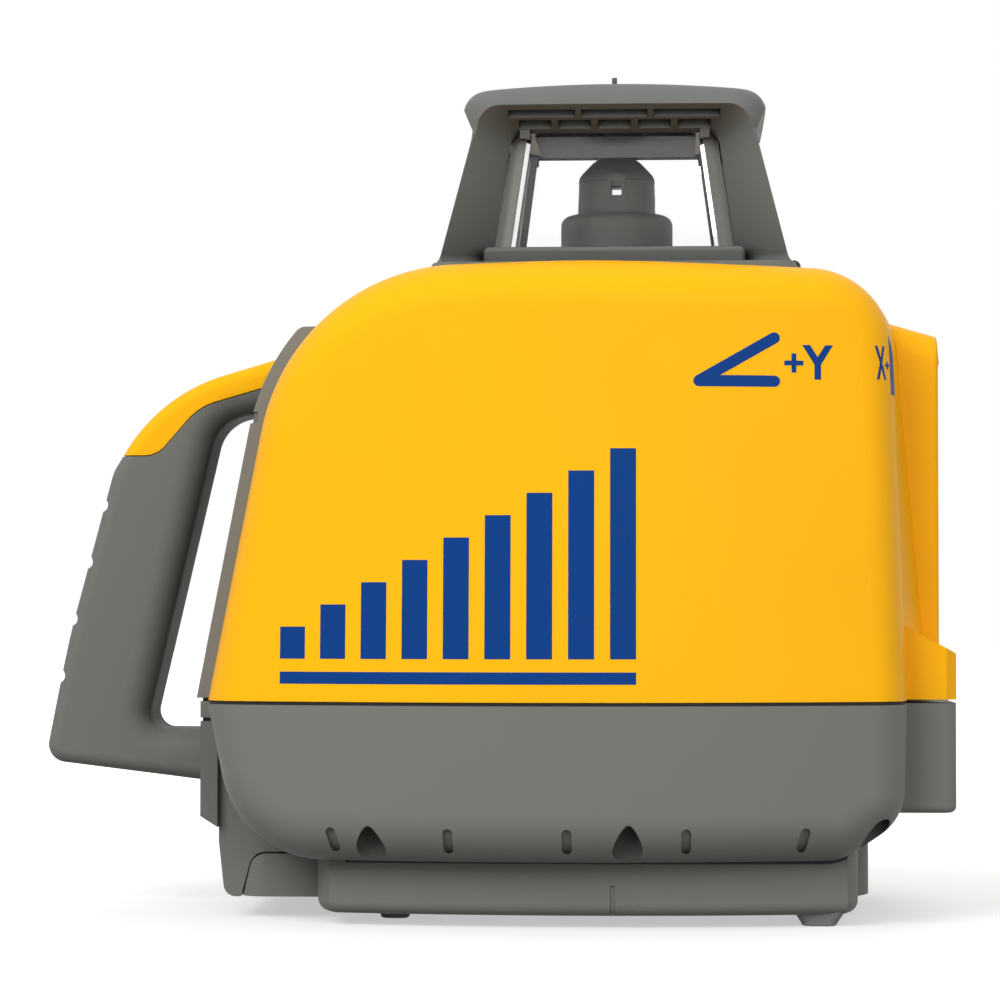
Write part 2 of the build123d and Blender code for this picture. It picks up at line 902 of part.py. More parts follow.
def make_housing_screws():
    """Screws that hold the two shells together."""
    screws = []
    for x, y in well_spots:
        head = rod(x, y, well_top - screw_head_height, well_top, screw_head_radius)
        screws.append(head + rod(x, y, well_top, seam_high + screw_rise, screw_radius))
    return screws


def grip_solid():
    """Handle bow with its rounded edges, before its ends are trimmed."""
    end = body_left + handle_end_in
    foot = body_left + handle_foot_in
    high = (body_left - outer_high_out, body_top - arm_corner_drop)
    middle_back = (body_left - outer_middle_out, seam_low + outer_middle_rise)
    low = (body_left - outer_low_out, seam_low - foot_bar_corner)
    outer_points = [(end, body_top - arm_top_drop), (body_left - shoulder_out, body_top - shoulder_drop),
                    high, middle_back, low, (foot, seam_low - foot_bar_end)]
    outer_radii = [0, shoulder_radius, outer_high_radius, outer_middle_radius, outer_low_radius, 0]
    inner_points = [(foot, seam_low - foot_bar_top), (body_left - inner_low_out, seam_low - foot_bar_top),
                    (body_left - inner_high_out, body_top - arm_low_drop), (end, body_top - arm_end_drop)]
    inner_radii = [0, inner_low_radius, inner_high_radius, 0]
    solid = side_plate(outline(outer_points + inner_points, outer_radii + inner_radii), handle_half_width)
    hollow = side_plate(outline(inner_points, inner_radii), handle_half_width)
    outer = ShapeList()
    inner = []
    for edge in [e for flat in solid.faces().filter_by(Axis.Y) for e in flat.edges()]:
        at = edge.center().X
        if min(abs(at - end), abs(at - foot)) < running_gap:
            continue
        if edge.distance_to(hollow) < running_gap:
            inner.append(edge.center())
        else:
            outer.append(edge)
    solid = fillet(outer, outer_round)
    solid = fillet(ShapeList([solid.edges().sort_by_distance(c)[0] for c in inner]), grip_round)
    for i in range(groove_count):
        z = seam_high + groove_rise + groove_pitch * i
        start, stop = (high, middle_back) if z > middle_back[1] else (middle_back, low)
        x = start[0] + (z - start[1]) * (stop[0] - start[0]) / (stop[1] - start[1])
        solid -= rod_y(x - groove_in, -far, far, z, groove_radius)
    return solid


def make_handle():
    """Handle with its foot plate, and its top cap, parted along the cap's seam."""
    solid = grip_solid() - block(spine_face, 0, -far, far, 0, seam_low - ledge_thick)
    plate = outline([(spine_face, seam_low - handle_plate_low), (spine_face, seam_low - handle_plate_top),
                     (plate_face, seam_low - handle_plate_top), (plate_face, seam_low - handle_plate_toe)])
    solid += side_plate(plate, strip_half_width)
    solid -= side_plate(upper_face(-strip_depth), body_depth)
    for y, z in handle_bolts:
        solid -= rod_x(plate_face - overcut, spine_face + overcut, y, z, small_screw_radius)
        solid -= rod_x(plate_face - 4 * handle_plate_thick, spine_face - handle_bolt_seat, y, z,
                       small_head_radius)
    end = body_left + handle_end_in + handle_foot_in
    seam = outline(
        [(end, body_top - cap_end_drop), (body_left - cap_bend_out, body_top - cap_bend_drop),
         (body_left - cap_foot_out, body_top - cap_foot_drop), (-far, body_top - cap_foot_drop),
         (-far, body_top), (end, body_top)],
        [0, cap_bend_radius, cap_foot_radius, 0, 0, 0])
    above = side_plate(seam, body_depth)
    lifted = side_plate(Pos(0, cap_seam_gap) * seam, body_depth)
    return solid - above, solid & lifted


def make_cap_screws():
    """Like screws of the handle's foot and of the gimbal frame."""
    screws = []
    seat = spine_face - handle_bolt_seat
    for y, z in handle_bolts:
        head = rod_x(seat - screw_head_height, seat, y, z, small_head_radius)
        screws.append(head + rod_x(seat, spine_face + handle_bolt_depth, y, z, small_screw_radius))
    for x, y in post_spots:
        head = rod(x, y, frame_top, frame_top + screw_head_height, small_head_radius)
        screws.append(head + rod(x, y, frame_low - post_screw_depth, frame_top, small_screw_radius))
    return screws


def lantern_half(z):
    """Half width of the lantern at a height."""
    share = (z - lantern_low) / (lantern_high - lantern_low)
    return lantern_half_low + (lantern_half_high - lantern_half_low) * share


def window_cut():
    """Funnel of one head window, widening outward."""
    def section(depth, half, low, high, radius):
        plane = Plane(origin=(0, -depth, 0), x_dir=(1, 0, 0), z_dir=(0, -1, 0))
        corners = [(-half, low), (half, low), (half, high), (-half, high)]
        return (plane * outline(corners, [window_low_radius, window_low_radius, radius, radius])).face()
    near = section(lantern_half_high - window_near_in, lantern_half_high - window_near_narrow,
                   cage_low + window_near_low, lantern_high - window_near_high, window_near_radius)
    outside = section(cage_half_low + window_far_out, cage_half_low + window_far_wide,
                      cage_low - window_far_low, cage_high + window_far_high, window_far_radius)
    return loft([near, outside], ruled=True)


def pocket_row(count, pitch, half, inside, depth, top):
    """Row of moulded pockets in the soffit over one window."""
    row = []
    y = inside - roof_half
    for i in range(count):
        x = (i - (count - 1) / 2) * pitch
        row.append(block(x - half, x + half, y, y + depth, cage_high - pocket_drop, cage_high + top))
    return row


def make_head_cage():
    """Head cage with four funnel windows under the crowned roof."""
    cage = frustum(cage_half_low, cage_low, cage_half_high, cage_high, cage_radius_low, cage_radius_high)
    step = cage_half_low + flange_step
    root = cage_half_low + flange_out
    collar = body_top - flange_lip
    cage += frustum(root, body_top - flange_root, step, collar, flange_radius, flange_step_radius)
    cage += frustum(step, collar, cage_half_low, cage_low, flange_step_radius, cage_radius_low)
    eaves = cage_high - overcut
    roof = Pos(0, 0, eaves) * RectangleRounded(2 * roof_half, 2 * roof_half, roof_radius)
    roof = extrude(roof, amount=2 * roof_crown_rise)
    roof = roof & Pos(0, 0, cage_high + roof_crown_rise - roof_sphere) * Sphere(roof_sphere)
    roof = fillet(roof.faces().sort_by(Axis.Z)[-1].edges(), roof_round)
    cage += roof + frustum(cage_half_high + roof_under_out, cage_high - roof_under_drop, roof_half, eaves,
                           cage_radius_high, roof_radius)
    low = lantern_low - seal_thick
    high = lantern_high + cover_thick
    cavity = frustum(lantern_half(low) + lantern_gap, low, lantern_half(high) + lantern_gap, high,
                     lantern_corner_radius, lantern_corner_radius)
    sill = block(-sill_half_width, sill_half_width, -lantern_half_low - sill_out, sill_in - lantern_half_low,
                 cage_low - overcut, cage_low + sill_height)
    sill = fillet(sill.edges().filter_by(Axis.Y).group_by(Axis.Z)[-1], sill_end_radius)
    sill = fillet(sill.edges().filter_by(Axis.X).group_by(Axis.Z)[-1].group_by(Axis.Y)[0], sill_edge_radius)
    for cut in turns(window_cut()):
        cage -= cut
    for bar in turns(sill):
        cage += bar
    pockets = pocket_row(front_pocket_count, front_pocket_pitch, front_pocket_half, front_pocket_in,
                         front_pocket_depth, front_pocket_top)
    pockets += pocket_row(back_pocket_count, back_pocket_pitch, back_pocket_half, back_pocket_in,
                          back_pocket_depth, back_pocket_top)
    for pocket in pockets:
        for cut in turns(pocket):
            cage -= cut
    cage -= cavity
    clip_face = -lantern_half_high - clip_in
    for x in (-clip_at, clip_at):
        for clip in turns(block(x - clip_half, x + clip_half, clip_face - clip_depth, clip_face,
                                lantern_high - clip_low, lantern_high + clip_high)):
            cage += clip
    cage -= rod(0, 0, pulley_high, drum_bottom, cage_hole_radius)
    cage -= upper_outer
    for y in (sight_pin_in - roof_half, roof_half - sight_pin_in):
        top = cage_high + roof_crown_rise + sight_pin_rise
        cage += rod(0, y, top - sight_pin_rise - sight_pin_root, top, sight_pin_radius)
    return cage - rod(lens_x, lens_y, cage_low - lens_root, cage_low + lens_rise + lens_radius, lens_radius)


def make_shoulder_lens():
    """Small round lamp lens in the flange of the head."""
    top = cage_low + lens_rise
    stem = rod(lens_x, lens_y, cage_low - lens_root, top, lens_radius)
    dome = Pos(lens_x, lens_y, top) * Sphere(lens_radius)
    return stem + (dome - rod(lens_x, lens_y, body_bottom, top, far))


def octagon(half, bevel, z):
    """Square section with bevelled corners."""
    a, b = half, half - bevel
    points = [(b, -a), (a, -b), (a, b), (b, a), (-b, a), (-a, b), (-a, -b), (-b, -a)]
    return Pos(0, 0, z) * outline(points)


def make_lantern():
    """Glass lantern, open below and above."""
    def pyramid(inset):
        bevel = lantern_bevel - inset * (2 - 2 ** 0.5)
        low = octagon(lantern_half_low - inset, bevel, lantern_low)
        high = octagon(lantern_half_high - inset, bevel, lantern_high)
        return loft([low.face(), high.face()], ruled=True)
    return pyramid(0) - pyramid(glass_thick)


def make_lantern_seal():
    """Seal under the lantern."""
    ring = extrude(octagon(lantern_half_low, lantern_bevel, lantern_low - seal_thick), amount=seal_thick)
    return ring - rod(0, 0, body_top, drum_bottom, seal_hole_radius)


def make_lantern_top():
    """Cover plate that closes the lantern under the roof."""
    return extrude(octagon(lantern_half_high, lantern_bevel, lantern_high), amount=cover_thick)


def make_ceiling_plate():
    """Dark light trap under the cover plate."""
    face = Pos(0, 0, lantern_high - trap_thick) * RectangleRounded(2 * trap_half, 2 * trap_half, trap_radius)
    return extrude(face, amount=trap_thick)


def make_rotor():
    """Rotor drum with the prism housing, and its domed cap."""
    profile = FilletPolyline(
        (0, drum_bottom), (drum_radius - overcut, drum_bottom), (drum_radius, drum_bottom + drum_bevel),
        (drum_radius, drum_top), (prism_radius, drum_top), (prism_radius - prism_taper, rotor_seam),
        (0, rotor_seam),
        radius=list(rotor_rounds))
    rotor = revolve(Plane.XZ * make_face(profile + Line((0, rotor_seam), (0, drum_bottom))), Axis.Z)
    dome = FilletPolyline(
        (0, rotor_seam), (prism_radius - prism_taper / 2, rotor_seam),
        (prism_radius - 3 * prism_taper / 2, rotor_seam + rotor_cap_rim),
        (rotor_cap_shoulder, rotor_top - rotor_cap_bevel), (rotor_cap_crown, rotor_top), (0, rotor_top),
        radius=list(rotor_cap_rounds))
    cap = revolve(Plane.XZ * make_face(dome + Line((0, rotor_top), (0, rotor_seam))), Axis.Z)
    for side in (-1, 1):
        y = side * (prism_radius - prism_flat_in)
        rotor -= block(-far, far, y, 2 * y, drum_top + prism_taper, rotor_seam)
        cap -= block(-far, far, y, 2 * y, rotor_seam - overcut, rotor_seam + rotor_cap_rim + prism_flat_in)
    pocket_low = drum_top - prism_sink
    beam = drum_top + beam_rise
    rotor -= rod(0, 0, drum_bottom - overcut, drum_bottom + spindle_seat, spindle_radius)
    rotor -= rod(0, 0, drum_bottom - overcut, drum_top, spindle_bore)
    rotor -= block(-prism_pocket_half, prism_pocket_half, -prism_pocket_half, prism_pocket_half,
                   pocket_low, rotor_top)
    rotor -= rod_x(0, far, 0, beam, beam_hole_radius)
    slot = drum_top + slot_rise
    rotor -= block(-slot_half_width, slot_half_width, -far, far, slot, slot + slot_thick)
    return rotor, cap


def make_prism():
    """Five-sided deflecting prism on the rotor axis."""
    half = prism_pocket_half - prism_gap
    low = drum_top - prism_sink
    high = drum_top + slot_rise - prism_gap
    points = [(-half, low), (half, low), (half, high), (prism_corner - half, high),
              (-half, high - prism_corner)]
    return side_plate(outline(points), half)


def make_spindle():
    """Hollow spindle under the rotor."""
    low = pivot_height + spindle_foot
    high = drum_bottom + spindle_seat
    return rod(0, 0, low, high, spindle_radius) - rod(0, 0, low - overcut, high + overcut, spindle_bore)


def pulley(y, radius, lip):
    """Flanged belt pulley."""
    wheel = rod(0, y, pulley_low + pulley_flange, pulley_high - pulley_flange, radius)
    wheel += rod(0, y, pulley_low, pulley_low + pulley_flange, radius + lip)
    return wheel + rod(0, y, pulley_high - pulley_flange, pulley_high, radius + lip)


def make_rotor_pulley():
    """Belt pulley of the spindle."""
    return pulley(0, pulley_radius, pulley_lip) - rod(0, 0, pivot_height, body_top, spindle_radius)


def make_motor_pulley():
    """Belt pulley and shaft of the spindle motor."""
    shaft = rod(0, -motor_offset, pivot_height + motor_shaft_low, pulley_low, motor_shaft_radius)
    return pulley(-motor_offset, motor_pulley_radius, motor_pulley_lip) + shaft


def make_belt():
    """Flat belt round the two pulleys."""
    def loop(extra):
        a = Circle(pulley_radius + extra)
        b = Pos(0, -motor_offset) * Circle(motor_pulley_radius + extra)
        return make_hull(a.edges() + b.edges())
    band = loop(running_gap + belt_thick) - loop(running_gap)
    middle_height = (pulley_low + pulley_high) / 2
    return extrude(Pos(0, 0, middle_height - belt_width / 2) * band, amount=belt_width)


def make_bearings():
    """Two bearings of the spindle."""
    rings = []
    for rise in bearing_rises:
        z = pivot_height + rise
        ring = rod(0, 0, z, z + bearing_thick, bearing_radius)
        rings.append(ring - rod(0, 0, z - overcut, z + bearing_thick + overcut, spindle_radius))
    return rings


def make_carrier():
    """Tilting laser carrier with the bearing tube, the motor shelf and the grade lever."""
    tube_top = pivot_height + bearing_tube_top
    barrel_bottom = pivot_height - barrel_tube_low
    shelf_low = pivot_height + motor_shelf_low
    lever_low = pivot_height + x_lever_rise
    body = rod(0, 0, pivot_height - carrier_hub_low, pivot_height + carrier_hub_high, carrier_hub_radius)
    body += rod(0, 0, pivot_height, tube_top, bearing_tube_radius)
    body += rod(0, 0, barrel_bottom, pivot_height, barrel_tube_radius)
    body += block(-vial_block_half, vial_block_half, -vial_block_half, vial_block_half,
                  pivot_height - vial_block_low, pivot_height - vial_block_high)
    body += block(-motor_shelf_half, motor_shelf_half, -motor_offset, 0, shelf_low, tube_top)
    body += rod(0, -motor_offset, shelf_low, tube_top, motor_shelf_radius)
    body += block(0, x_plunger_at + lever_past, -x_lever_half, x_lever_half, lever_low, lever_low + lever_thick)
    body -= rod(0, 0, pivot_height + spindle_foot, tube_top + overcut, bearing_radius)
    body -= rod(0, 0, barrel_bottom - overcut, pivot_height + barrel_top, barrel_radius)
    body -= rod(0, 0, pivot_height, tube_top, light_hole_radius)
    body -= rod(0, -motor_offset, shelf_low - overcut, tube_top + overcut, motor_neck_radius)
    for side in (-1, 1):
        body -= rod_y(0, side * inner_pin_start, side * far, pivot_height, inner_pin_radius)
    return body


def make_spindle_motor():
    """Motor that turns the rotor through the belt."""
    shelf_low = pivot_height + motor_shelf_low
    shelf_high = pivot_height + bearing_tube_top
    can = rod(0, -motor_offset, pivot_height + motor_can_low, shelf_low, motor_can_radius)
    can += rod(0, -motor_offset, shelf_low, shelf_high, motor_neck_radius)
    shaft_low = pivot_height + motor_shaft_low - running_gap
    return can - rod(0, -motor_offset, shaft_low, shelf_high + overcut, motor_shaft_radius + running_gap)


def make_inner_pivots():
    """Pivot pins of the carrier."""
    end = ring_outer - overcut
    return [rod_y(0, side * inner_pin_start, side * end, pivot_height, inner_pin_radius) for side in (-1, 1)]


def make_laser_module():
    """Laser diode and collimator barrel."""
    top = pivot_height + barrel_top
    barrel = rod(0, 0, pivot_height - barrel_low, top, barrel_radius)
    return barrel - rod(0, 0, pivot_height - barrel_bore_low, top + overcut, barrel_bore)


def make_collimator_lens():
    """Lens in the top of the barrel."""
    low = pivot_height - lens_low
    return rod(0, 0, low, low + lens_thick, barrel_bore)


def make_vials():
    """Two electronic level vials, one for each axis."""
    z = pivot_height - (vial_block_low + vial_block_high) / 2
    at = -vial_block_half - vial_radius
    return [rod_x(-vial_half_length, vial_half_length, at, z, vial_radius),
            rod_y(at, -vial_half_length, vial_half_length, z, vial_radius)]


def make_outer_ring():
    """Outer gimbal ring with its grade lever."""
    low = pivot_height - ring_half_height
    high = pivot_height + ring_half_height
    ring = rod(0, 0, low, high, ring_outer) - rod(0, 0, low - overcut, high + overcut, ring_inner)
    lever_low = pivot_height - y_lever_drop
    ring += block(-y_lever_half, y_lever_half, ring_outer - ring_width / 2, y_plunger_at + lever_past,
                  lever_low, lever_low + lever_thick)
    for side in (-1, 1):
        ring -= rod_y(0, side * ring_inner / 2, side * (ring_outer + overcut), pivot_height,
                      inner_pin_radius + inner_bush_wall)
        ring -= rod_x(side * ring_inner / 2, side * (ring_outer + overcut), 0, pivot_height, outer_pin_radius)
    return ring


def make_inner_bushes():
    """Bushes in the outer ring for the carrier's pins."""
    bushes = []
    for side in (-1, 1):
        start = side * (ring_inner + pin_end_gap)
        end = side * (ring_outer - overcut + bush_end_gap)
        bush = rod_y(0, start, end, pivot_height, inner_pin_radius + inner_bush_wall)
        bushes.append(bush - rod_y(0, 0, 2 * end, pivot_height, inner_pin_radius + running_gap))
    return bushes


def make_outer_pivots():
    """Pivot pins of the outer ring."""
    start = ring_inner + pin_end_gap
    end = arm_outer - overcut
    return [rod_x(side * start, side * end, 0, pivot_height, outer_pin_radius) for side in (-1, 1)]


def make_gimbal_frame():
    """Cast frame that carries the gimbal and the two grade motors."""
    half_length = arm_outer + frame_margin
    frame = block(-half_length, half_length, -frame_front, frame_back, frame_low, frame_top)
    for side in (-1, 1):
        x0, x1 = side * arm_inner, side * arm_outer
        arm = block(x0, x1, -arm_half_width, arm_half_width, frame_low, pivot_height)
        arm += rod_x(x0, x1, 0, pivot_height, arm_eye_radius)
        frame += arm - rod_x(side * ring_outer, side * far, 0, pivot_height, outer_pin_radius + outer_bush_wall)
    frame -= rod(0, 0, frame_low - overcut, frame_top + overcut, frame_hole_radius)
    for x, y in post_spots:
        frame -= rod(x, y, frame_low - overcut, frame_top + overcut, small_screw_radius)
    return frame


def make_outer_bushes():
    """Bushes in the frame for the outer ring's pins."""
    bushes = []
    for side in (-1, 1):
        bush = rod_x(side * arm_inner, side * arm_outer, 0, pivot_height, outer_pin_radius + outer_bush_wall)
        bushes.append(bush - rod_x(0, side * far, 0, pivot_height, outer_pin_radius + running_gap))
    return bushes


def grade_motor(x, y, height):
    """Captive linear motor standing on the gimbal frame."""
    top = frame_top + height
    can = rod(x, y, frame_top, top, grade_motor_radius)
    return can - rod(x, y, frame_top + grade_motor_floor, top + overcut, plunger_radius + running_gap)


def grade_plunger(x, y, lever_face):
    """Plunger of a grade motor, round at its tip."""
    ball = lever_face - plunger_gap - plunger_radius
    return rod(x, y, frame_top + plunger_low, ball, plunger_radius) + Pos(x, y, ball) * Sphere(plunger_radius)


def make_panel_housing():
    """Raised housing of the control panel with its sloping top and its hood."""
    root = body_right - panel_root
    crest = panel_high + (panel_face - root) * tan(radians(panel_slope))
    side = outline([(root, panel_low), (panel_face, panel_low), (panel_face, panel_high), (root, crest)])
    shell = side_plate(side, panel_half_width)
    sides = shell.faces().filter_by(Axis.Y).edges()
    shell = fillet(sides.filter_by(lambda e: e.bounding_box().size.X > panel_root), panel_corner_radius)
    shell = fillet(shell.faces().sort_by(Axis.X)[-1].edges(), panel_edge_radius)
    hood = outline([(root, hood_low), (panel_face, hood_low), (panel_face + hood_reach, hood_low + hood_step),
                    (panel_face, panel_high), (root, crest)])
    shell += side_plate(hood, panel_half_width - hood_in - panel_corner_radius)
    shell -= block(board_face, far, -fascia_half, fascia_half, fascia_low, fascia_high)
    return shell - upper_outer - cable_hole()


def key_pad(y, z, x0, x1, grow):
    """Rounded key block between two depths."""
    plane = Plane(origin=(x0, y, z), x_dir=(0, 1, 0), z_dir=(1, 0, 0))
    face = RectangleRounded(2 * (key_half_width + grow), 2 * (key_half_height + grow), key_radius)
    return extrude(plane * face, amount=x1 - x0)


def make_fascia():
    """Front plate of the panel with the display opening and the key holes."""
    half = fascia_half - fascia_gap
    plate = block(fascia_back, fascia_face, -half, half, fascia_low + fascia_gap, fascia_high - fascia_gap)
    half = display_half_width - display_rebate
    plate -= block(fascia_back - overcut, far, -half, half,
                   display_low + display_rebate, display_high - display_rebate)
    plate -= block(fascia_face - display_step, far, -display_half_width, display_half_width,
                   display_low, display_high)
    for y, z in key_spots.values():
        plate -= key_pad(y, z, fascia_back - overcut, fascia_face + overcut, key_hole_gap)
    return plate


def make_key(y, z):
    """Key with its flange behind the fascia."""
    seat = fascia_back - key_back_gap
    pad = key_pad(y, z, seat - key_flange_thick, fascia_face + key_proud, 0)
    pad = fillet(pad.faces().sort_by(Axis.X)[-1].edges(), key_round)
    return pad + key_pad(y, z, seat - key_flange_thick, seat, key_flange)


def make_display_window():
    """Clear cover of the display."""
    half = display_half_width - fascia_gap
    return block(fascia_face - display_step, fascia_face, -half, half,
                 display_low + fascia_gap, display_high - fascia_gap)


def make_display_module():
    """Display behind the fascia."""
    half = display_half_width - display_module_in
    return block(board_face + board_thick, fascia_back, -half, half,
                 display_low + display_module_in, display_high - display_module_in)


def make_panel_board():
    """Circuit board of the panel."""
    half = fascia_half - board_margin
    return block(board_face, board_face + board_thick, -half, half,
                 fascia_low + board_margin, fascia_high - board_margin)


def make_battery_holder():
    """Battery box with two channels, open to the back door."""
    back = half_depth - holder_back_in
    box = block(-holder_half_width, holder_half_width, -holder_front, back, body_bottom + wall, holder_top)
    box = chamfer(box.edges().filter_by(Axis.X).group_by(Axis.Z)[0].sort_by(Axis.Y)[-1], holder_chamfer)
    for x in (-cell_offset, cell_offset):
        box -= rod_y(x, holder_end_wall - holder_front, body_depth, cell_height, cell_radius + cell_gap)
    return box


def make_battery_cells():
    """Four cells in two rows."""
    cells = []
    start = holder_end_wall + contact_thick - holder_front
    for x in (-cell_offset, cell_offset):
        for y in (start, start + cell_length):
            end = y + cell_length
            cell = rod_y(x, y, end - cell_nub_length, cell_height, cell_radius)
            cells.append(cell + rod_y(x, y + cell_length / 2, end, cell_height, cell_nub_radius))
    return cells


def make_contacts():
    """Contact plates of the battery box."""
    start = holder_end_wall - holder_front
    end = start + contact_thick
    return [rod_y(x, start, end, cell_height, contact_radius) for x in (-cell_offset, cell_offset)]


def make_main_board():
    """Main circuit board on the battery box."""
    board = block(-board_half_width, board_half_width, -main_board_front, main_board_back,
                  holder_top, main_board_top)
    for x, y, width, depth, share in chips:
        chip = block(x - width / 2, x + width / 2, y - depth / 2, y + depth / 2, 0, share * chip_height)
        board += Pos(0, 0, main_board_top) * chip
    return board


def make_door():
    """Battery door that follows the housing's back, with its hinge knuckles."""
    door = block(-door_half_width, door_half_width, door_inside, body_depth, door_low, door_axis_height)
    door = door & lower_outer
    door -= hinge_cut(far)
    for x0, x1 in lug_spans:
        door -= block(x0 - lug_gap, x1 + lug_gap, 0, body_depth,
                      door_axis_height - lug_radius - 3 * lug_gap, body_top)
    edge = door_half_width - pin_in
    inner_end = lug_spans[1][0] - lug_gap
    outer_start = lug_spans[1][1] + lug_gap
    for x0, x1 in ((-edge, -outer_start), (-inner_end, inner_end), (outer_start, edge)):
        knuckle = rod_x(x0, x1, door_axis_depth, door_axis_height, lug_radius)
        door += knuckle & block(-far, far, 0, door_axis_depth + running_gap, 0, door_axis_height)
    door -= hinge_rod(far, pin_radius + running_gap)
    door -= rod_y(0, latch_seat(), body_depth, latch_height, latch_radius + latch_rim_gap)
    return door - rod_y(0, 0, body_depth, latch_height, latch_stem_radius + running_gap)


def latch_seat():
    """Depth of the latch's seat in the door."""
    return door_axis_depth + latch_seat_in - latch_rim_gap


def make_hinge_pin():
    """Pin of the battery door."""
    return hinge_rod(door_half_width - pin_in, pin_radius)


def make_latch():
    """Quarter-turn latch of the battery door, with a coin slot and an inner cam."""
    seat = latch_seat() + latch_rim_gap
    face = seat + latch_thick
    cam_face = door_inside - cam_gap
    latch = rod_y(0, seat, face, latch_height, latch_radius)
    latch -= block(-latch_slot_half, latch_slot_half, face - latch_slot_depth, body_depth,
                   latch_height - latch_slot_width / 2, latch_height + latch_slot_width / 2)
    latch += rod_y(0, cam_face - cam_thick / 2, seat + latch_slot_depth / 2, latch_height, latch_stem_radius)
    return latch + block(-cam_half_length, cam_half_length, cam_face - cam_thick, cam_face,
                         latch_height - latch_stem_radius, latch_height + latch_stem_radius)


handle, handle_cap = make_handle()
rotor_turret, rotor_cap = make_rotor()
pieces = {
    "upper_housing": make_upper_housing(),
    "lower_housing": make_lower_housing(),
    "housing_gasket": make_gasket(),
    "housing_screws": make_housing_screws(),
    "base_tray": make_base_tray(),
    "rubber_feet": make_feet(),
    "tripod_insert": make_tripod_insert(),
    "side_insert": make_side_insert(),
    "handle_frame": make_handle_frame(),
    "handle": handle,
    "handle_cap": handle_cap,
    "cap_screws": make_cap_screws(),
    "head_cage": make_head_cage(),
    "shoulder_lens": make_shoulder_lens(),
    "lantern_glass": make_lantern(),
    "lantern_seal": make_lantern_seal(),
    "lantern_top": make_lantern_top(),
    "ceiling_plate": make_ceiling_plate(),
    "rotor_turret": rotor_turret,
    "rotor_cap": rotor_cap,
    "penta_prism": make_prism(),
    "spindle": make_spindle(),
    "rotor_pulley": make_rotor_pulley(),
    "motor_pulley": make_motor_pulley(),
    "drive_belt": make_belt(),
    "spindle_bearings": make_bearings(),
    "laser_carrier": make_carrier(),
    "spindle_motor": make_spindle_motor(),
    "inner_pivots": make_inner_pivots(),
    "laser_module": make_laser_module(),
    "collimator_lens": make_collimator_lens(),
    "level_vials": make_vials(),
    "outer_ring": make_outer_ring(),
    "inner_bushes": make_inner_bushes(),
    "outer_pivots": make_outer_pivots(),
    "gimbal_frame": make_gimbal_frame(),
    "outer_bushes": make_outer_bushes(),
    "x_grade_motor": grade_motor(x_plunger_at, 0, x_motor_height),
    "y_grade_motor": grade_motor(0, y_plunger_at, y_motor_height),
    "x_grade_plunger": grade_plunger(x_plunger_at, 0, pivot_height + x_lever_rise),
    "y_grade_plunger": grade_plunger(0, y_plunger_at, pivot_height - y_lever_drop),
    "panel_housing": make_panel_housing(),
    "panel_fascia": make_fascia(),
    "display_window": make_display_window(),
    "display_module": make_display_module(),
    "panel_board": make_panel_board(),
    "battery_holder": make_battery_holder(),
    "battery_cells": make_battery_cells(),
    "battery_contacts": make_contacts(),
    "main_board": make_main_board(),
    "battery_door": make_door(),
    "door_hinge_pin": make_hinge_pin(),
    "battery_latch": make_latch(),
}
for name, (y, z) in key_spots.items():
    pieces[name] = make_key(y, z)

os.makedirs("parts", exist_ok=True)
for name, shape in pieces.items():
    solid = Compound(children=shape) if isinstance(shape, list) else shape
    export_step(solid, f"parts/{name}.step")
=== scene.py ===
"""Looks of a dual grade laser: its moulded, glass and metal finishes, printed marks and studio."""
from math import cos, pi, radians, sin, tau

import bmesh
import bpy
from bpy.props import FloatProperty, FloatVectorProperty, PointerProperty
from mathutils import Color, Matrix, Vector
from mathutils.bvhtree import BVHTree


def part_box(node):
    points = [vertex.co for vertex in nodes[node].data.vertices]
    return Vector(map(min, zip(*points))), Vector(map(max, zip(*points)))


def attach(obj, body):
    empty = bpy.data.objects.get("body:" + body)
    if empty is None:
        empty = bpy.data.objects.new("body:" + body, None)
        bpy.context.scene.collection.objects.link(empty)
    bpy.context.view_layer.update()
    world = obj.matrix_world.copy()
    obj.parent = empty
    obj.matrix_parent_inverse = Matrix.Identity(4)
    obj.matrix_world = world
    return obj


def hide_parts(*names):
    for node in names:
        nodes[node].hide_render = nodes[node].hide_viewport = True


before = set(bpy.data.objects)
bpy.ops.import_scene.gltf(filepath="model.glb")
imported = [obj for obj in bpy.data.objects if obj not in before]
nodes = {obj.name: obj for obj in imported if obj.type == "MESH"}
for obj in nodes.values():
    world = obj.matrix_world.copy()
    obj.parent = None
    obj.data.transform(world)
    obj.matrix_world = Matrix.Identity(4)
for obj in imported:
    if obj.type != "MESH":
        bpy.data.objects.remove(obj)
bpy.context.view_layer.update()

bl_info = {
    "name": "Dual grade laser",
    "version": (1, 0, 0),
    "blender": (4, 5, 0),
    "location": "View3D > Sidebar > Laser",
    "description": "Finishes, printed marks and studio of a dual grade laser",
    "category": "Object",
}

MM = 0.001
NOISE_SPAN = 0.3, 0.7  # where most values of a noise lie


def tone(name, description, default):
    """Colour property, written as the colour looks on screen."""
    return FloatVectorProperty(name=name, description=description, subtype="COLOR_GAMMA", size=3,
                               min=0, max=1, default=[channel / 255 for channel in default])


def length(name, description, default):
    """Length property in metres, with its default in millimetres."""
    return FloatProperty(name=name, description=description, subtype="DISTANCE", unit="LENGTH",
                         default=default * MM)


def share(name, description, default):
    """Property for a share of a size."""
    return FloatProperty(name=name, description=description, subtype="FACTOR", min=0, max=1,
                         default=default)


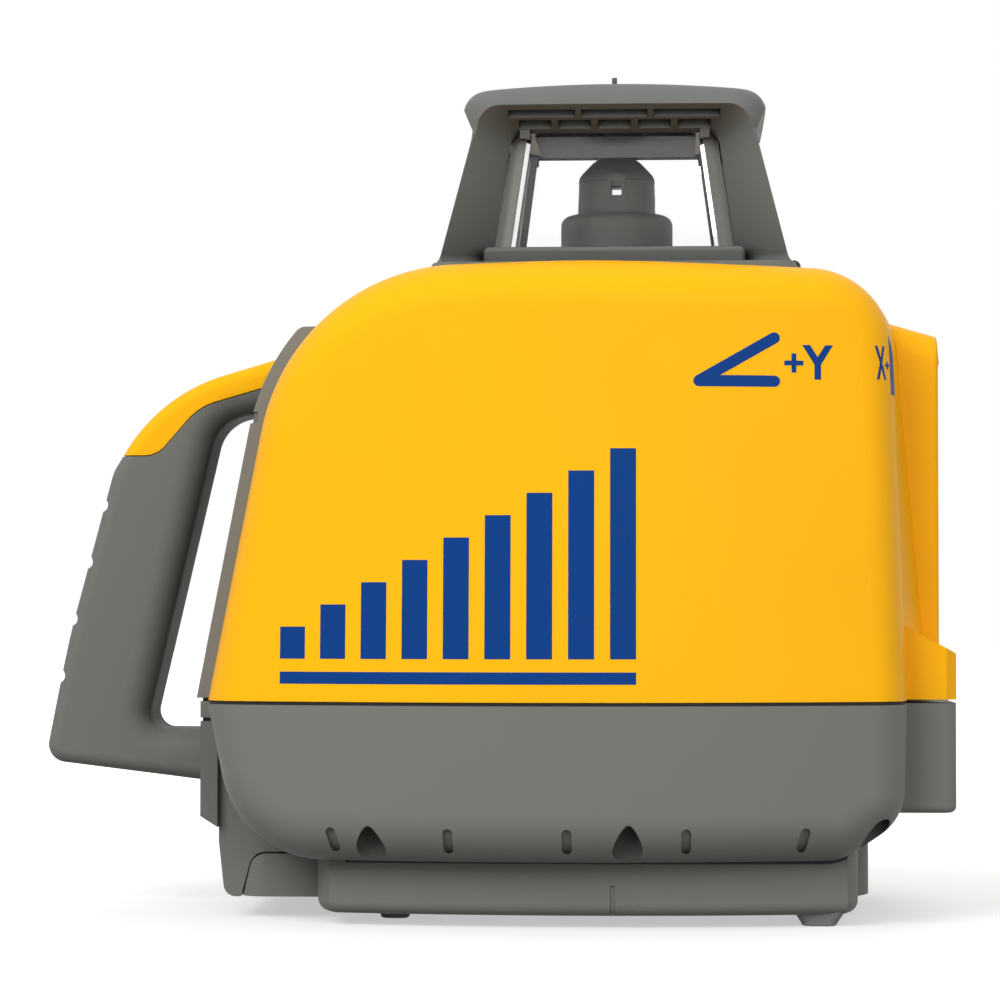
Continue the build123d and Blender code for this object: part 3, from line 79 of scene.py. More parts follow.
class LaserColours(bpy.types.PropertyGroup):
    """Colours of the laser's finishes."""
    housing: tone("Housing", "Upper shell, handle cap and panel housing", (255, 184, 12))
    lower: tone("Lower shell", "Lower shell and battery door", (118, 119, 114))
    # Painted shade: a darker grey for the walls of the screw wells, in place of the shade inside
    # them.
    well_painted_shade: tone("Wells", "Insides of the screw wells", (75, 76, 72))
    tray: tone("Tray", "Base tray and feet", (118, 119, 113))
    grip: tone("Grip", "Handle between the rim and the cap", (112, 113, 108))
    rim: tone("Rim", "Frame that carries the handle", (126, 127, 122))
    cage: tone("Cage", "Cage and roof of the head", (112, 114, 111))
    cover: tone("Lantern cover", "Pale plate that closes the lantern", (176, 175, 168))
    corner: tone("Lantern corners", "Frosted corner strips of the lantern", (124, 124, 120))
    ink: tone("Ink", "Printed marks", (0, 58, 128))
    rotor: tone("Rotor", "Rotor and its cap", (70, 70, 66))
    # Also the colour of the painted shade strip along the tray joint.
    rubber: tone("Rubber", "Gasket, seal and belt", (30, 30, 30))
    fascia: tone("Fascia", "Plate behind the keys", (58, 60, 60))
    key: tone("Keys", "Menu and enter keys", (168, 170, 168))
    arrow_key: tone("Arrow keys", "Four direction keys", (24, 78, 140))
    power_key: tone("Power key", "On and off key", (178, 38, 32))
    display: tone("Display", "Display background", (158, 172, 148))
    board: tone("Board", "Circuit boards", (18, 92, 48))
    brass: tone("Brass", "Bushes and contacts", (196, 164, 96))
    steel: tone("Steel", "Screws, pins and threads", (186, 186, 188))
    casting: tone("Casting", "Gimbal castings", (176, 178, 180))
    glass: tone("Glass", "Lantern, prism and lenses", (254, 254, 254))
    window: tone("Window", "Clear window of the display", (246, 248, 248))
    motor: tone("Motors", "Painted motor cans", (34, 34, 37))
    sleeve: tone("Cell sleeves", "Sleeves of the battery cells", (40, 42, 46))
    band: tone("Cell bands", "Bands at the positive ends of the cells", (196, 140, 62))
    segment: tone("Segments", "Dark segments of the display", (34, 40, 36))
    icon: tone("Icons", "Printed signs on keys and fascia", (236, 238, 236))
    # Painted shade: near-black for the hexagon sockets of the handle's screws, printed as flat
    # sheets.
    socket_painted_shade: tone("Recesses", "Shaded sockets of the screw heads", (34, 34, 35))


class LaserSizes(bpy.types.PropertyGroup):
    """Sizes that the looks use."""
    ink_thick: length("Ink thickness", "Height of a printed mark above its surface", 0.05)
    ink_grid: length("Ink grid", "Spacing of the cuts that let a mark follow a curve", 1.0)
    grain: length("Grain", "Size of the moulded grain", 0.42)
    grain_depth: length("Grain depth", "Depth of the moulded grain", 0.014)
    stroke: length("Stroke", "Stroke of the printed slope sign", 3.2)
    # Painted shade: within this reach, ambient occlusion darkens the cage's colour under the roof.
    painted_nook_shade: length("Nook", "Reach of the shade under the roof of the head", 40.0)
    # Painted shade: the dark joint is a dark strip on the tray where the gap under the shell is in
    # shade.
    joint_shade_high: length("Joint height", "Height of the dark joint above the tray", 0.75)
    well_radius: length("Well radius", "Radius of the screw wells in the lower shell", 4.2)
    groove_deep: length("Groove depth", "Depth of the axis grooves in the tray", 0.4)
    foot_taper: share("Foot taper", "Draw-in of the sides, as a share of half a foot's width", 0.3)
    foot_round: share("Foot rounding", "Corner radius, as a share of half a foot's width", 0.34)
    # Painted shade: the dark strip reaches lower where the tray wall lies back under the shell.
    joint_shade_deepens: share("Joint deepens", "Growth of the joint where the wall lies back", 0.05)
    corner_thick: length("Corner strips", "Height of the corner strips above the glass", 0.25)
    icon_stroke: length("Icon stroke", "Stroke of the signs on the keys", 0.8)
    thread_pitch: length("Thread pitch", "Pitch of the two tripod threads", 2.309)
    thread_depth: length("Thread depth", "Height of the thread's ridge", 1.0)
    edge_soft: length("Edge softness", "Radius that softens moulded edges", 0.35)


class LaserSettings(bpy.types.PropertyGroup):
    """All settings of the laser."""
    colours: PointerProperty(type=LaserColours)
    sizes: PointerProperty(type=LaserSizes)


def settings():
    """The scene's laser settings."""
    return bpy.context.scene.laser_settings


def linear(colour, level=1.0):
    """Screen colour, at a level, as a shader takes it."""
    return (*(channel * level for channel in Color(colour).from_srgb_to_scene_linear()), 1.0)


def fill(node, values):
    """Values on a node's sockets, by the sockets' names."""
    for name, value in values.items():
        node.inputs[name.replace("_", " ")].default_value = value


class Finish:
    """A material under construction."""

    def __init__(self, name, colour, roughness, metallic=0.0):
        self.material = bpy.data.materials.new(name)
        self.material.use_nodes = True
        self.tree = self.material.node_tree
        self.shader = self.tree.nodes["Principled BSDF"]
        self.colour = colour
        self.set(Metallic=metallic, Roughness=roughness)
        self.shader.inputs["Base Color"].default_value = linear(colour)
        self.material.diffuse_color = linear(colour)
        self.place = self.node("ShaderNodeTexCoord").outputs["Object"]

    def node(self, kind, **inputs):
        """New node with values on its sockets."""
        made = self.tree.nodes.new(kind)
        fill(made, inputs)
        return made

    def link(self, output, target):
        """Joins two sockets."""
        self.tree.links.new(output, target)

    def set(self, **values):
        """Values on the shader's own sockets."""
        fill(self.shader, values)

    def noise(self, size, detail=3.0, stretch=(1, 1, 1)):
        """Noise whose features have this size in metres."""
        mapping = self.node("ShaderNodeMapping")
        mapping.inputs["Scale"].default_value = stretch
        self.link(self.place, mapping.inputs["Vector"])
        made = self.node("ShaderNodeTexNoise", Scale=1 / size, Detail=detail)
        self.link(mapping.outputs["Vector"], made.inputs["Vector"])
        return made.outputs["Fac"]

    def ramp(self, factor, low, high, first, last):
        """Values from first to last as the factor goes from low to high."""
        made = self.node("ShaderNodeMapRange", From_Min=low, From_Max=high,
                         To_Min=first, To_Max=last)
        self.link(factor, made.inputs["Value"])
        return made.outputs["Result"]

    def tint(self, factor, low, high, dark, light):
        """Base colour between two levels of the finish's colour."""
        ramp = self.node("ShaderNodeValToRGB")
        first, last = ramp.color_ramp.elements
        first.position, last.position = low, high
        first.color, last.color = linear(self.colour, dark), linear(self.colour, light)
        self.link(factor, ramp.inputs["Fac"])
        self.link(ramp.outputs["Color"], self.shader.inputs["Base Color"])

    def shade(self, reach, least):
        """Painted shade: base colour darkened in crevices narrower than the reach, down to a least
        level.
        """
        target = self.shader.inputs["Base Color"]
        painted_by = target.links[0].from_socket
        painted_nook_shade = self.node("ShaderNodeAmbientOcclusion", Distance=reach)
        painted_nook_shade.samples = 6
        closed, open_air = 0.25, 0.9
        level = self.ramp(painted_nook_shade.outputs["AO"], closed, open_air, least, 1.0)
        deep = self.node("ShaderNodeMix")
        deep.data_type = "RGBA"
        deep.blend_type = "MULTIPLY"
        deep.inputs["Factor"].default_value = 1.0
        self.link(painted_by, deep.inputs["A"])
        self.link(level, deep.inputs["B"])
        self.link(deep.outputs["Result"], target)

    def gloss(self, factor, low, high, first, last):
        """Roughness that varies with a factor."""
        self.link(self.ramp(factor, low, high, first, last), self.shader.inputs["Roughness"])

    def bump(self, height, depth, soften=0.0):
        """Relief of a real depth over the surface, on softened edges."""
        made = self.node("ShaderNodeBump", Strength=1.0, Distance=depth)
        self.link(height, made.inputs["Height"])
        if soften:
            bevel = self.node("ShaderNodeBevel", Radius=soften)
            bevel.samples = 4
            self.link(bevel.outputs["Normal"], made.inputs["Normal"])
        self.link(made.outputs["Normal"], self.shader.inputs["Normal"])


def moulded(name, colour, roughness, grain=1.0, depth=1.0, soften=True, painted_nook_shade=None):
    """Moulded plastic with eroded grain, faint mottling, uneven gloss and painted shade in its
    nooks.
    """
    sizes = settings().sizes
    made = Finish(name, colour, roughness)
    made.set(IOR=1.5, Specular_IOR_Level=0.16)
    fine = made.noise(sizes.grain * grain, detail=4)
    broad = made.noise(60 * MM, detail=2)
    made.tint(broad, *NOISE_SPAN, 0.965, 1.0)
    # Painted shade: ambient occlusion darkens the colour in crevices.
    if painted_nook_shade:
        made.shade(*painted_nook_shade)
    made.gloss(broad, *NOISE_SPAN, roughness - 0.03, roughness + 0.04)
    made.bump(fine, sizes.grain_depth * depth, sizes.edge_soft if soften else 0.0)
    return made.material


def rubbery(name, colour):
    """Matt rubber with a fine bloom."""
    made = Finish(name, colour, 0.8)
    bloom = made.noise(4 * MM, detail=4)
    made.tint(bloom, 0.3, 0.75, 0.85, 1.25)
    made.bump(made.noise(0.5 * MM), 0.02 * MM)
    return made.material


def turned(name, colour, roughness, stretch):
    """Turned or drawn metal with fine lines along one way."""
    made = Finish(name, colour, roughness, metallic=1.0)
    lines = made.noise(0.8 * MM, detail=3, stretch=stretch)
    made.tint(lines, *NOISE_SPAN, 0.86, 1.0)
    made.gloss(lines, *NOISE_SPAN, roughness - 0.06, roughness + 0.08)
    made.bump(lines, 0.005 * MM)
    return made.material


def cast(name, colour):
    """Cast aluminium with a pebbled skin."""
    made = Finish(name, colour, 0.48, metallic=1.0)
    skin = made.noise(0.9 * MM, detail=5)
    made.tint(skin, *NOISE_SPAN, 0.82, 1.0)
    made.gloss(skin, *NOISE_SPAN, 0.42, 0.56)
    made.bump(skin, 0.04 * MM)
    return made.material


def clear(name, colour, ior):
    """Clear glass or acrylic with a trace of haze."""
    made = Finish(name, colour, 0.0)
    made.set(Transmission_Weight=1.0, IOR=ior)
    made.gloss(made.noise(9 * MM, detail=2), 0.4, 0.8, 0.0, 0.02)
    return made.material


def painted(name, colour, roughness):
    """Satin paint with a slight orange peel."""
    made = Finish(name, colour, roughness)
    made.set(Specular_IOR_Level=0.3)
    peel = made.noise(3 * MM, detail=2)
    made.tint(peel, *NOISE_SPAN, 0.95, 1.04)
    made.gloss(peel, *NOISE_SPAN, roughness - 0.05, roughness + 0.05)
    made.bump(peel, 0.006 * MM)
    return made.material


def printed(name, colour):
    """Screen-printed ink with slight unevenness."""
    made = Finish(name, colour, 0.42)
    made.set(Specular_IOR_Level=0.16)
    coat = made.noise(3 * MM, detail=3)
    made.tint(coat, *NOISE_SPAN, 0.93, 1.0)
    made.gloss(coat, *NOISE_SPAN, 0.38, 0.47)
    return made.material


def sleeved(name, colour, band):
    """Shrink sleeves of two cells in line, each with a band at its positive end."""
    low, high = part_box("battery_cells")
    cells, band_start = 1.999, 0.78
    made = Finish(name, colour, 0.3)
    split = made.node("ShaderNodeSeparateXYZ")
    made.link(made.place, split.inputs["Vector"])
    along = made.node("ShaderNodeMath")
    along.operation = "FRACT"
    made.link(made.ramp(split.outputs["Y"], low.y, high.y, 0.0, cells), along.inputs[0])
    ramp = made.node("ShaderNodeValToRGB")
    ramp.color_ramp.interpolation = "CONSTANT"
    first, last = ramp.color_ramp.elements
    first.color, last.color = linear(colour), linear(band)
    last.position = band_start
    made.link(along.outputs[0], ramp.inputs["Fac"])
    made.link(ramp.outputs["Color"], made.shader.inputs["Base Color"])
    film = made.noise(6 * MM, detail=3)
    made.gloss(film, *NOISE_SPAN, 0.24, 0.36)
    made.bump(film, 0.02 * MM)
    return made.material


def circuit(name, colour):
    """Solder mask with copper tracks showing through."""
    made = Finish(name, colour, 0.35)
    tracks = made.node("ShaderNodeTexBrick", Scale=160.0, Mortar_Size=0.035)
    made.link(made.place, tracks.inputs["Vector"])
    made.tint(tracks.outputs["Fac"], 0.0, 1.0, 0.75, 1.5)
    made.bump(made.noise(1.2 * MM), 0.01 * MM)
    return made.material


def cover(material, *names):
    """Gives CAD pieces a finish."""
    for name in names:
        slots = nodes[name].data.materials
        slots.clear()
        slots.append(material)


def tree_of(name):
    """Search tree over the surface of a CAD piece."""
    mesh = nodes[name].data
    points = [vertex.co.copy() for vertex in mesh.vertices]
    return BVHTree.FromPolygons(points, [list(face.vertices) for face in mesh.polygons])


def islands(name):
    """Lowest and highest corners of each separate solid of a CAD piece."""
    work = bmesh.new()
    work.from_mesh(nodes[name].data)
    bmesh.ops.remove_doubles(work, verts=work.verts, dist=0.001 * MM)
    seen, boxes = set(), []
    for first in work.verts:
        if first in seen:
            continue
        seen.add(first)
        front, group = [first], []
        while front:
            vertex = front.pop()
            group.append(vertex.co.copy())
            for edge in vertex.link_edges:
                other = edge.other_vert(vertex)
                if other not in seen:
                    seen.add(other)
                    front.append(other)
        boxes.append([Vector(pick(point[axis] for point in group) for axis in range(3))
                      for pick in (min, max)])
    work.free()
    return boxes


def placed(name, work, material, body):
    """Piece from a finished mesh, riding on a body."""
    mesh = bpy.data.meshes.new(name)
    work.to_mesh(mesh)
    work.free()
    mesh.materials.append(material)
    piece = bpy.data.objects.new(name, mesh)
    bpy.context.scene.collection.objects.link(piece)
    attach(piece, body)
    return piece


def swept(name, runs, material, body):
    """Closed bars, each through a run of sections with as many points, as one piece."""
    work = bmesh.new()
    for sections in runs:
        rings = [[work.verts.new(point) for point in section] for section in sections]
        count = len(rings[0])
        for near, far in zip(rings, rings[1:]):
            for i in range(count):
                work.faces.new((near[i], near[(i + 1) % count], far[(i + 1) % count], far[i]))
        work.faces.new(rings[0])
        work.faces.new(rings[-1])
    bmesh.ops.recalc_face_normals(work, faces=work.faces)
    return placed(name, work, material, body)


class Print:
    """Flat drawing that is laid on a surface along one direction."""

    reach = 0.2

    def __init__(self, surface, origin, right, up):
        self.surface = surface
        self.origin = Vector(origin)
        self.right = Vector(right).normalized()
        self.up = Vector(up).normalized()
        self.inward = self.up.cross(self.right)

    def drop(self, u, v):
        """Point on the surface under a point of the drawing, and the surface's normal."""
        start = self.origin + self.right * u + self.up * v - self.inward * self.reach
        spot, normal, _, _ = self.surface.ray_cast(start, self.inward)
        if spot is None:
            raise RuntimeError("a printed mark misses its surface")
        if normal.dot(self.inward) > 0:
            normal = -normal
        return spot, normal

    def sheet(self, name, shapes, material, body):
        """Thin closed sheet of ink in these outlines, in metres on the drawing."""
        sizes = settings().sizes
        work = bmesh.new()
        for points in shapes:
            work.faces.new([work.verts.new((u, v, 0)) for u, v in points])
        bmesh.ops.recalc_face_normals(work, faces=work.faces)
        for axis in (0, 1):
            values = [vertex.co[axis] for vertex in work.verts]
            steps = int((max(values) - min(values)) / sizes.ink_grid)
            for i in range(1, steps + 1):
                cut = Vector((0, 0, 0))
                cut[axis] = min(values) + i * sizes.ink_grid
                way = Vector((0, 0, 0))
                way[axis] = 1
                geometry = work.verts[:] + work.edges[:] + work.faces[:]
                bmesh.ops.bisect_plane(work, geom=geometry, plane_co=cut, plane_no=way, dist=1e-7)
        bmesh.ops.triangulate(work, faces=work.faces)
        for vertex in work.verts:
            spot, normal = self.drop(vertex.co.x, vertex.co.y)
            vertex.co = spot + normal * sizes.ink_thick
        work.normal_update()
        if sum(face.normal.dot(self.inward) for face in work.faces) > 0:
            bmesh.ops.reverse_faces(work, faces=work.faces)
        piece = placed(name, work, material, body)
        piece.data.shade_flat()
        shell = piece.modifiers.new("Ink", "SOLIDIFY")
        shell.thickness = 1.5 * sizes.ink_thick
        shell.offset = -1


def bar(x0, x1, z0, z1):
    """Rectangle outline."""
    return [(x0, z0), (x1, z0), (x1, z1), (x0, z1)]


def plus(x, z, half, stroke):
    """Plus sign outline."""
    s = stroke / 2
    quarter = [(s, s), (s, half), (-s, half)]
    points = []
    for i in range(4):
        for u, v in quarter:
            for _ in range(i):
                u, v = -v, u
            points.append((x + u, z + v))
    return points


def bent_stroke(points, stroke, steps=8):
    """Outline of a bent line with round ends and a round outer corner."""
    tip, corner, end = (Vector(point) for point in points)

    def arc(centre, start, sweep):
        angles = [start + sweep * i / steps for i in range(steps + 1)]
        return [centre + Vector((cos(a), sin(a))) * stroke / 2 for a in angles]

    first = (corner - tip).normalized()
    second = (end - corner).normalized()
    side = Vector((-first.y, first.x))
    other = Vector((-second.y, second.x))
    turn_angle = first.angle_signed(second)
    start = Vector((1, 0)).angle_signed(side) * -1
    outline = arc(tip, start, pi)
    outline += arc(corner, start + pi, -turn_angle)
    finish = Vector((1, 0)).angle_signed(-other) * -1
    outline += arc(end, finish, pi)
    inner = corner + (side + other) * (stroke / 2) / (1 + side.dot(other))
    return [tuple(point) for point in outline] + [tuple(inner)]


def ring(x, z, radius, stroke, start=0.0, sweep=tau, steps=24):
    """Outlines of a ring, or of part of it, as two bent bands."""
    outside, inside = radius + stroke / 2, radius - stroke / 2
    shapes = []
    for first in (0, 1):
        begin = start + first * sweep / 2
        angles = [begin + sweep / 2 * i / steps for i in range(steps + 1)]
        outer = [(x + outside * cos(a), z + outside * sin(a)) for a in angles]
        inner = [(x + inside * cos(a), z + inside * sin(a)) for a in reversed(angles)]
        shapes.append(outer + inner)
    return shapes


def polygon(x, z, radius, corners, turn=0.0):
    """Outline of a regular polygon with its first corner at an angle."""
    return [(x + radius * cos(turn + tau * i / corners), z + radius * sin(turn + tau * i / corners))
            for i in range(corners)]


def line(x0, z0, x1, z1, stroke):
    """Outline of a straight stroke with square ends."""
    way = Vector((x1 - x0, z1 - z0)).normalized()
    side = Vector((-way.y, way.x)) * stroke / 2
    return [(x0 - side.x, z0 - side.y), (x1 - side.x, z1 - side.y), (x1 + side.x, z1 + side.y),
            (x0 + side.x, z0 + side.y)]


def letter_x(x, z, half, high, stroke):
    """Outlines of the X axis letter: one whole stroke and two half strokes."""
    middle = z + high / 2
    near = 0.3 * stroke
    lean = 2 * near / high
    return [line(x - half, z, x + half, z + high, stroke),
            line(x - half, z + high, x - half * lean, middle + near, stroke),
            line(x + half * lean, middle - near, x + half, z, stroke)]


def letter_y(x, z, half, high, stroke):
    """Outline of the Y axis letter."""
    s, arm, fork, top = stroke / 2, 1.2 * stroke, z + 0.43 * high, z + high
    return [(x - s, z), (x + s, z), (x + s, fork), (x + half, top), (x + half - arm, top),
            (x, fork + arm), (x - half + arm, top), (x - half, top), (x - s, fork)]


class LASER_OT_housing(bpy.types.Operator):
    """Finish of the two shells, the tray, the handle, the gasket and the feet."""
    bl_idname = "laser.housing"
    bl_label = "Housing"

    def shade_wells(self, material):
        """Painted shade: darker colour on the walls of the screw wells of the lower shell."""
        mesh = nodes["lower_housing"].data
        mesh.materials.append(material)
        spare = 0.05 * MM
        reach = settings().sizes.well_radius + spare
        for low, high in islands("housing_screws"):
            axis = ((low + high) / 2).xy
            for face in mesh.polygons:
                if all((mesh.vertices[i].co.xy - axis).length < reach for i in face.vertices):
                    face.material_index = 1

    def execute(self, context):
        colours = settings().colours
        yellow = moulded("housing_yellow", colours.housing, 0.46)
        grey = moulded("lower_grey", colours.lower, 0.52)
        cover(yellow, "upper_housing", "handle_cap", "panel_housing")
        cover(grey, "lower_housing", "battery_door")
        # Painted shade inside the screw wells.
        self.shade_wells(moulded("painted_shade_in_wells", colours.well_painted_shade, 0.6))
        cover(moulded("tray_grey", colours.tray, 0.56), "base_tray")
        cover(moulded("foot_grey", colours.tray, 0.6), "rubber_feet")
        cover(moulded("handle_grey", colours.grip, 0.58, grain=1.6, depth=2.0), "handle")
        cover(moulded("rim_grey", colours.rim, 0.56, grain=1.3, depth=1.5), "handle_frame")
        cover(rubbery("seal_rubber", colours.rubber), "housing_gasket")
        return {"FINISHED"}


class LASER_OT_feet(bpy.types.Operator):
    """Tapered rubber feet under the tray."""
    bl_idname = "laser.feet"
    bl_label = "Feet"

    def outline(self, low, high, inset, z):
        """Rounded rectangle inside a box, drawn in by a share of half its width."""
        half = (high.x - low.x) / 2
        radius = settings().sizes.foot_round * half
        middle = (low + high) / 2
        corners = (high.x, high.y), (low.x, high.y), (low.x, low.y), (high.x, low.y)
        steps = 8
        points = []
        for quarter, (x, y) in enumerate(corners):
            towards = Vector((1 if x < middle.x else -1, 1 if y < middle.y else -1, 0))
            centre = Vector((x, y, z)) + towards * (radius + inset * half)
            for i in range(steps + 1):
                angle = (quarter + i / steps) * tau / 4
                points.append(centre + Vector((cos(angle), sin(angle), 0)) * radius)
        return points

    def execute(self, context):
        taper = settings().sizes.foot_taper
        shoulder, heel, sole = 4.6 * MM, 1.0 * MM, 0.3 * MM
        sole_in, tread_in = taper + 0.04, taper + 0.11
        runs = []
        for low, high in islands("rubber_feet"):
            levels = [(high.z, 0), (low.z + shoulder, 0), (low.z + heel, taper),
                      (low.z + sole, sole_in), (low.z, tread_in)]
            runs.append([self.outline(low, high, inset, z) for z, inset in levels if z <= high.z])
        foot = bpy.data.materials["foot_grey"]
        piece = swept("tapered_feet", runs, foot, "chassis")
        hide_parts("rubber_feet")
        return {"FINISHED"}


class LASER_OT_tray_details(bpy.types.Operator):
    """Painted shade along the joint over the tray, dark joints at the leg and at the rim, and
    floors of the axis grooves.
    """
    bl_idname = "laser.tray_details"
    bl_label = "Tray details"

    outside = 0.2

    def across(self, left, right, bottom, top, half):
        """Sections of a bar that lies across the part, from front to back."""
        return [[(left, y, bottom), (right, y, bottom), (right, y, top), (left, y, top)]
                for y in (-half, half)]

    def joint(self, tray, shell, side):
        """Sections of the painted shade strip along the joint at the front or the back of the tray.
        """
        sizes = settings().sizes
        left, long, count = -76 * MM, 142.2 * MM, 90
        level, off, proud, behind, lap = 15 * MM, 0.5 * MM, 0.12 * MM, 0.5 * MM, 0.4 * MM
        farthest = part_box("base_tray")[1].y
        inward, up = Vector((0, -side, 0)), Vector((0, 0, 1))
        sections = []
        for i in range(count + 1):
            x = left + i / count * long
            wall = tray.ray_cast(Vector((x, side * self.outside, level)), inward)[0]
            above = shell.ray_cast(wall - inward * off, up)[0]
            if above is None:
                continue
            deepens = (farthest - abs(wall.y)) * sizes.joint_shade_deepens
            bottom, top = above.z - sizes.joint_shade_high - deepens, above.z + lap
            near, deep = wall - inward * proud, wall + inward * behind
            sections.append([(x, near.y, bottom), (x, near.y, top),
                             (x, deep.y, top), (x, deep.y, bottom)])
        return sections

    def groove_floor(self, tray, side):
        """Sections of the floor of the axis groove in the front or the back of the tray."""
        low, long, count = 4.6 * MM, 7.3 * MM, 8
        half, beside, behind = 0.65 * MM, 1.0 * MM, 1.9 * MM
        inward = Vector((0, -side, 0))
        sections = []
        for i in range(count + 1):
            z = low + long * i / count
            wall = tray.ray_cast(Vector((beside, side * self.outside, z)), inward)[0]
            near, deep = wall + inward * settings().sizes.groove_deep, wall + inward * behind
            sections.append([(-half, near.y, z), (half, near.y, z),
                             (half, deep.y, z), (-half, deep.y, z)])
        return sections

    def execute(self, context):
        tray, shell = tree_of("base_tray"), tree_of("lower_housing")
        rubber, grey = bpy.data.materials["seal_rubber"], bpy.data.materials["tray_grey"]
        sides = (-1, 1)
        joints = [self.joint(tray, shell, side) for side in sides]
        # Painted shade: a dark rubber strip where the gap under the shell is in shade.
        swept("tray_joint_shade", joints, rubber, "chassis")
        floors = [self.groove_floor(tray, side) for side in sides]
        swept("axis_groove_floors", floors, grey, "chassis")
        leg = self.across(-113 * MM, -102 * MM, 6.4 * MM, 20 * MM, 2 * MM)
        swept("leg_joint_seal", [leg], rubber, "chassis")
        gap, lap = 1.0 * MM, 0.1 * MM
        rims = [self.across(-120.2 * MM, -115 * MM, top - gap - lap, top + lap, 48.2 * MM)
                for top in (64.0 * MM, 58.2 * MM)]
        swept("rim_joint_seals", rims, rubber, "chassis")
        return {"FINISHED"}


class LASER_OT_head(bpy.types.Operator):
    """Finish of the head cage, the lantern and the rotor."""
    bl_idname = "laser.head"
    bl_label = "Head"

    def execute(self, context):
        colours = settings().colours
        # Painted shade: the cage's colour darkens under the roof and in its pockets.
        painted_nook_shade = settings().sizes.painted_nook_shade, 0.06
        cover(moulded("cage_grey", colours.cage, 0.5, painted_nook_shade=painted_nook_shade), "head_cage")
        cover(clear("lantern_glass", colours.glass, 1.25), "lantern_glass")
        cover(clear("optic_glass", colours.glass, 1.52), "penta_prism", "collimator_lens",
              "shoulder_lens", "level_vials")
        cover(moulded("cover_grey", colours.cover, 0.5), "lantern_top")
        cover(painted("trap_black", colours.rubber, 0.6), "ceiling_plate")
        cover(bpy.data.materials["seal_rubber"], "lantern_seal", "drive_belt")
        cover(painted("rotor_grey", colours.rotor, 0.5), "rotor_turret", "rotor_cap")
        return {"FINISHED"}


class LASER_OT_lantern_corners(bpy.types.Operator):
    """Frosted strips on the four bevelled corners of the lantern."""
    bl_idname = "laser.lantern_corners"
    bl_label = "Lantern corners"

    def bevel(self, level):
        """The two edges of one bevelled corner of the lantern at a height."""
        close = 0.01 * MM
        vertices = nodes["lantern_glass"].data.vertices
        points = [vertex.co for vertex in vertices if abs(vertex.co.z - level) < close]
        half = max(point.x for point in points)
        flat = max(point.x for point in points if point.y > half - close)
        return Vector((flat, half, level)), Vector((half, flat, level))

    def execute(self, context):
        low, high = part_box("lantern_glass")
        thick = settings().sizes.corner_thick
        outward = Vector((1, 1, 0)).normalized()
        sections = []
        for level in (low.z, high.z):
            first, second = self.bevel(level)
            sections.append([first - outward * thick, second - outward * thick,
                             second + outward * thick, first + outward * thick])
        runs = []
        for quarter in range(4):
            turn = Matrix.Rotation(quarter * tau / 4, 3, "Z")
            runs.append([[turn @ point for point in section] for section in sections])
        frost = painted("corner_frost", settings().colours.corner, 0.4)
        piece = swept("lantern_corner_strips", runs, frost, "chassis")
        soft = piece.modifiers.new("Soft edges", "BEVEL")
        soft.width = 0.4 * thick
        soft.segments = 2
        return {"FINISHED"}


class LASER_OT_mechanism(bpy.types.Operator):
    """Finish of the gimbal, the motors, the bearings and the fasteners."""
    bl_idname = "laser.mechanism"
    bl_label = "Mechanism"

    def execute(self, context):
        colours = settings().colours
        steel = turned("turned_steel", colours.steel, 0.32, (1, 1, 6))
        cover(steel, "housing_screws", "cap_screws", "door_hinge_pin", "inner_pivots",
              "outer_pivots", "spindle", "spindle_bearings", "x_grade_plunger", "y_grade_plunger",
              "motor_pulley", "tripod_insert", "side_insert")
        cover(turned("turned_brass", colours.brass, 0.3, (1, 1, 4)), "inner_bushes", "outer_bushes",
              "battery_contacts")
        cover(cast("cast_aluminium", colours.casting), "gimbal_frame", "outer_ring",
              "laser_carrier", "rotor_pulley", "laser_module")
        cover(painted("motor_black", colours.motor, 0.4), "x_grade_motor", "y_grade_motor",
              "spindle_motor")
        return {"FINISHED"}


class LASER_OT_panel(bpy.types.Operator):
    """Finish of the control panel, its keys and its display."""
    bl_idname = "laser.panel"
    bl_label = "Control panel"

    def execute(self, context):
        colours = settings().colours
        cover(moulded("fascia_grey", colours.fascia, 0.5, soften=False), "panel_fascia")
        cover(clear("window_clear", colours.window, 1.49), "display_window")
        cover(painted("display_grey", colours.display, 0.35), "display_module")
        cover(circuit("solder_mask", colours.board), "panel_board", "main_board")
        cover(rubbery("key_grey", colours.key), "key_menu", "key_enter")
        cover(rubbery("key_blue", colours.arrow_key), "key_up", "key_down", "key_left", "key_right")
        cover(rubbery("key_red", colours.power_key), "key_power")
        return {"FINISHED"}


class LASER_OT_battery(bpy.types.Operator):
    """Finish of the battery box, its cells and its latch."""
    bl_idname = "laser.battery"
    bl_label = "Battery"

    def execute(self, context):
        colours = settings().colours
        cover(moulded("box_black", colours.rubber, 0.5, soften=False), "battery_holder")
        cover(moulded("latch_black", colours.rubber, 0.45, soften=False), "battery_latch")
        cover(sleeved("cell_sleeve", colours.sleeve, colours.band), "battery_cells")
        return {"FINISHED"}


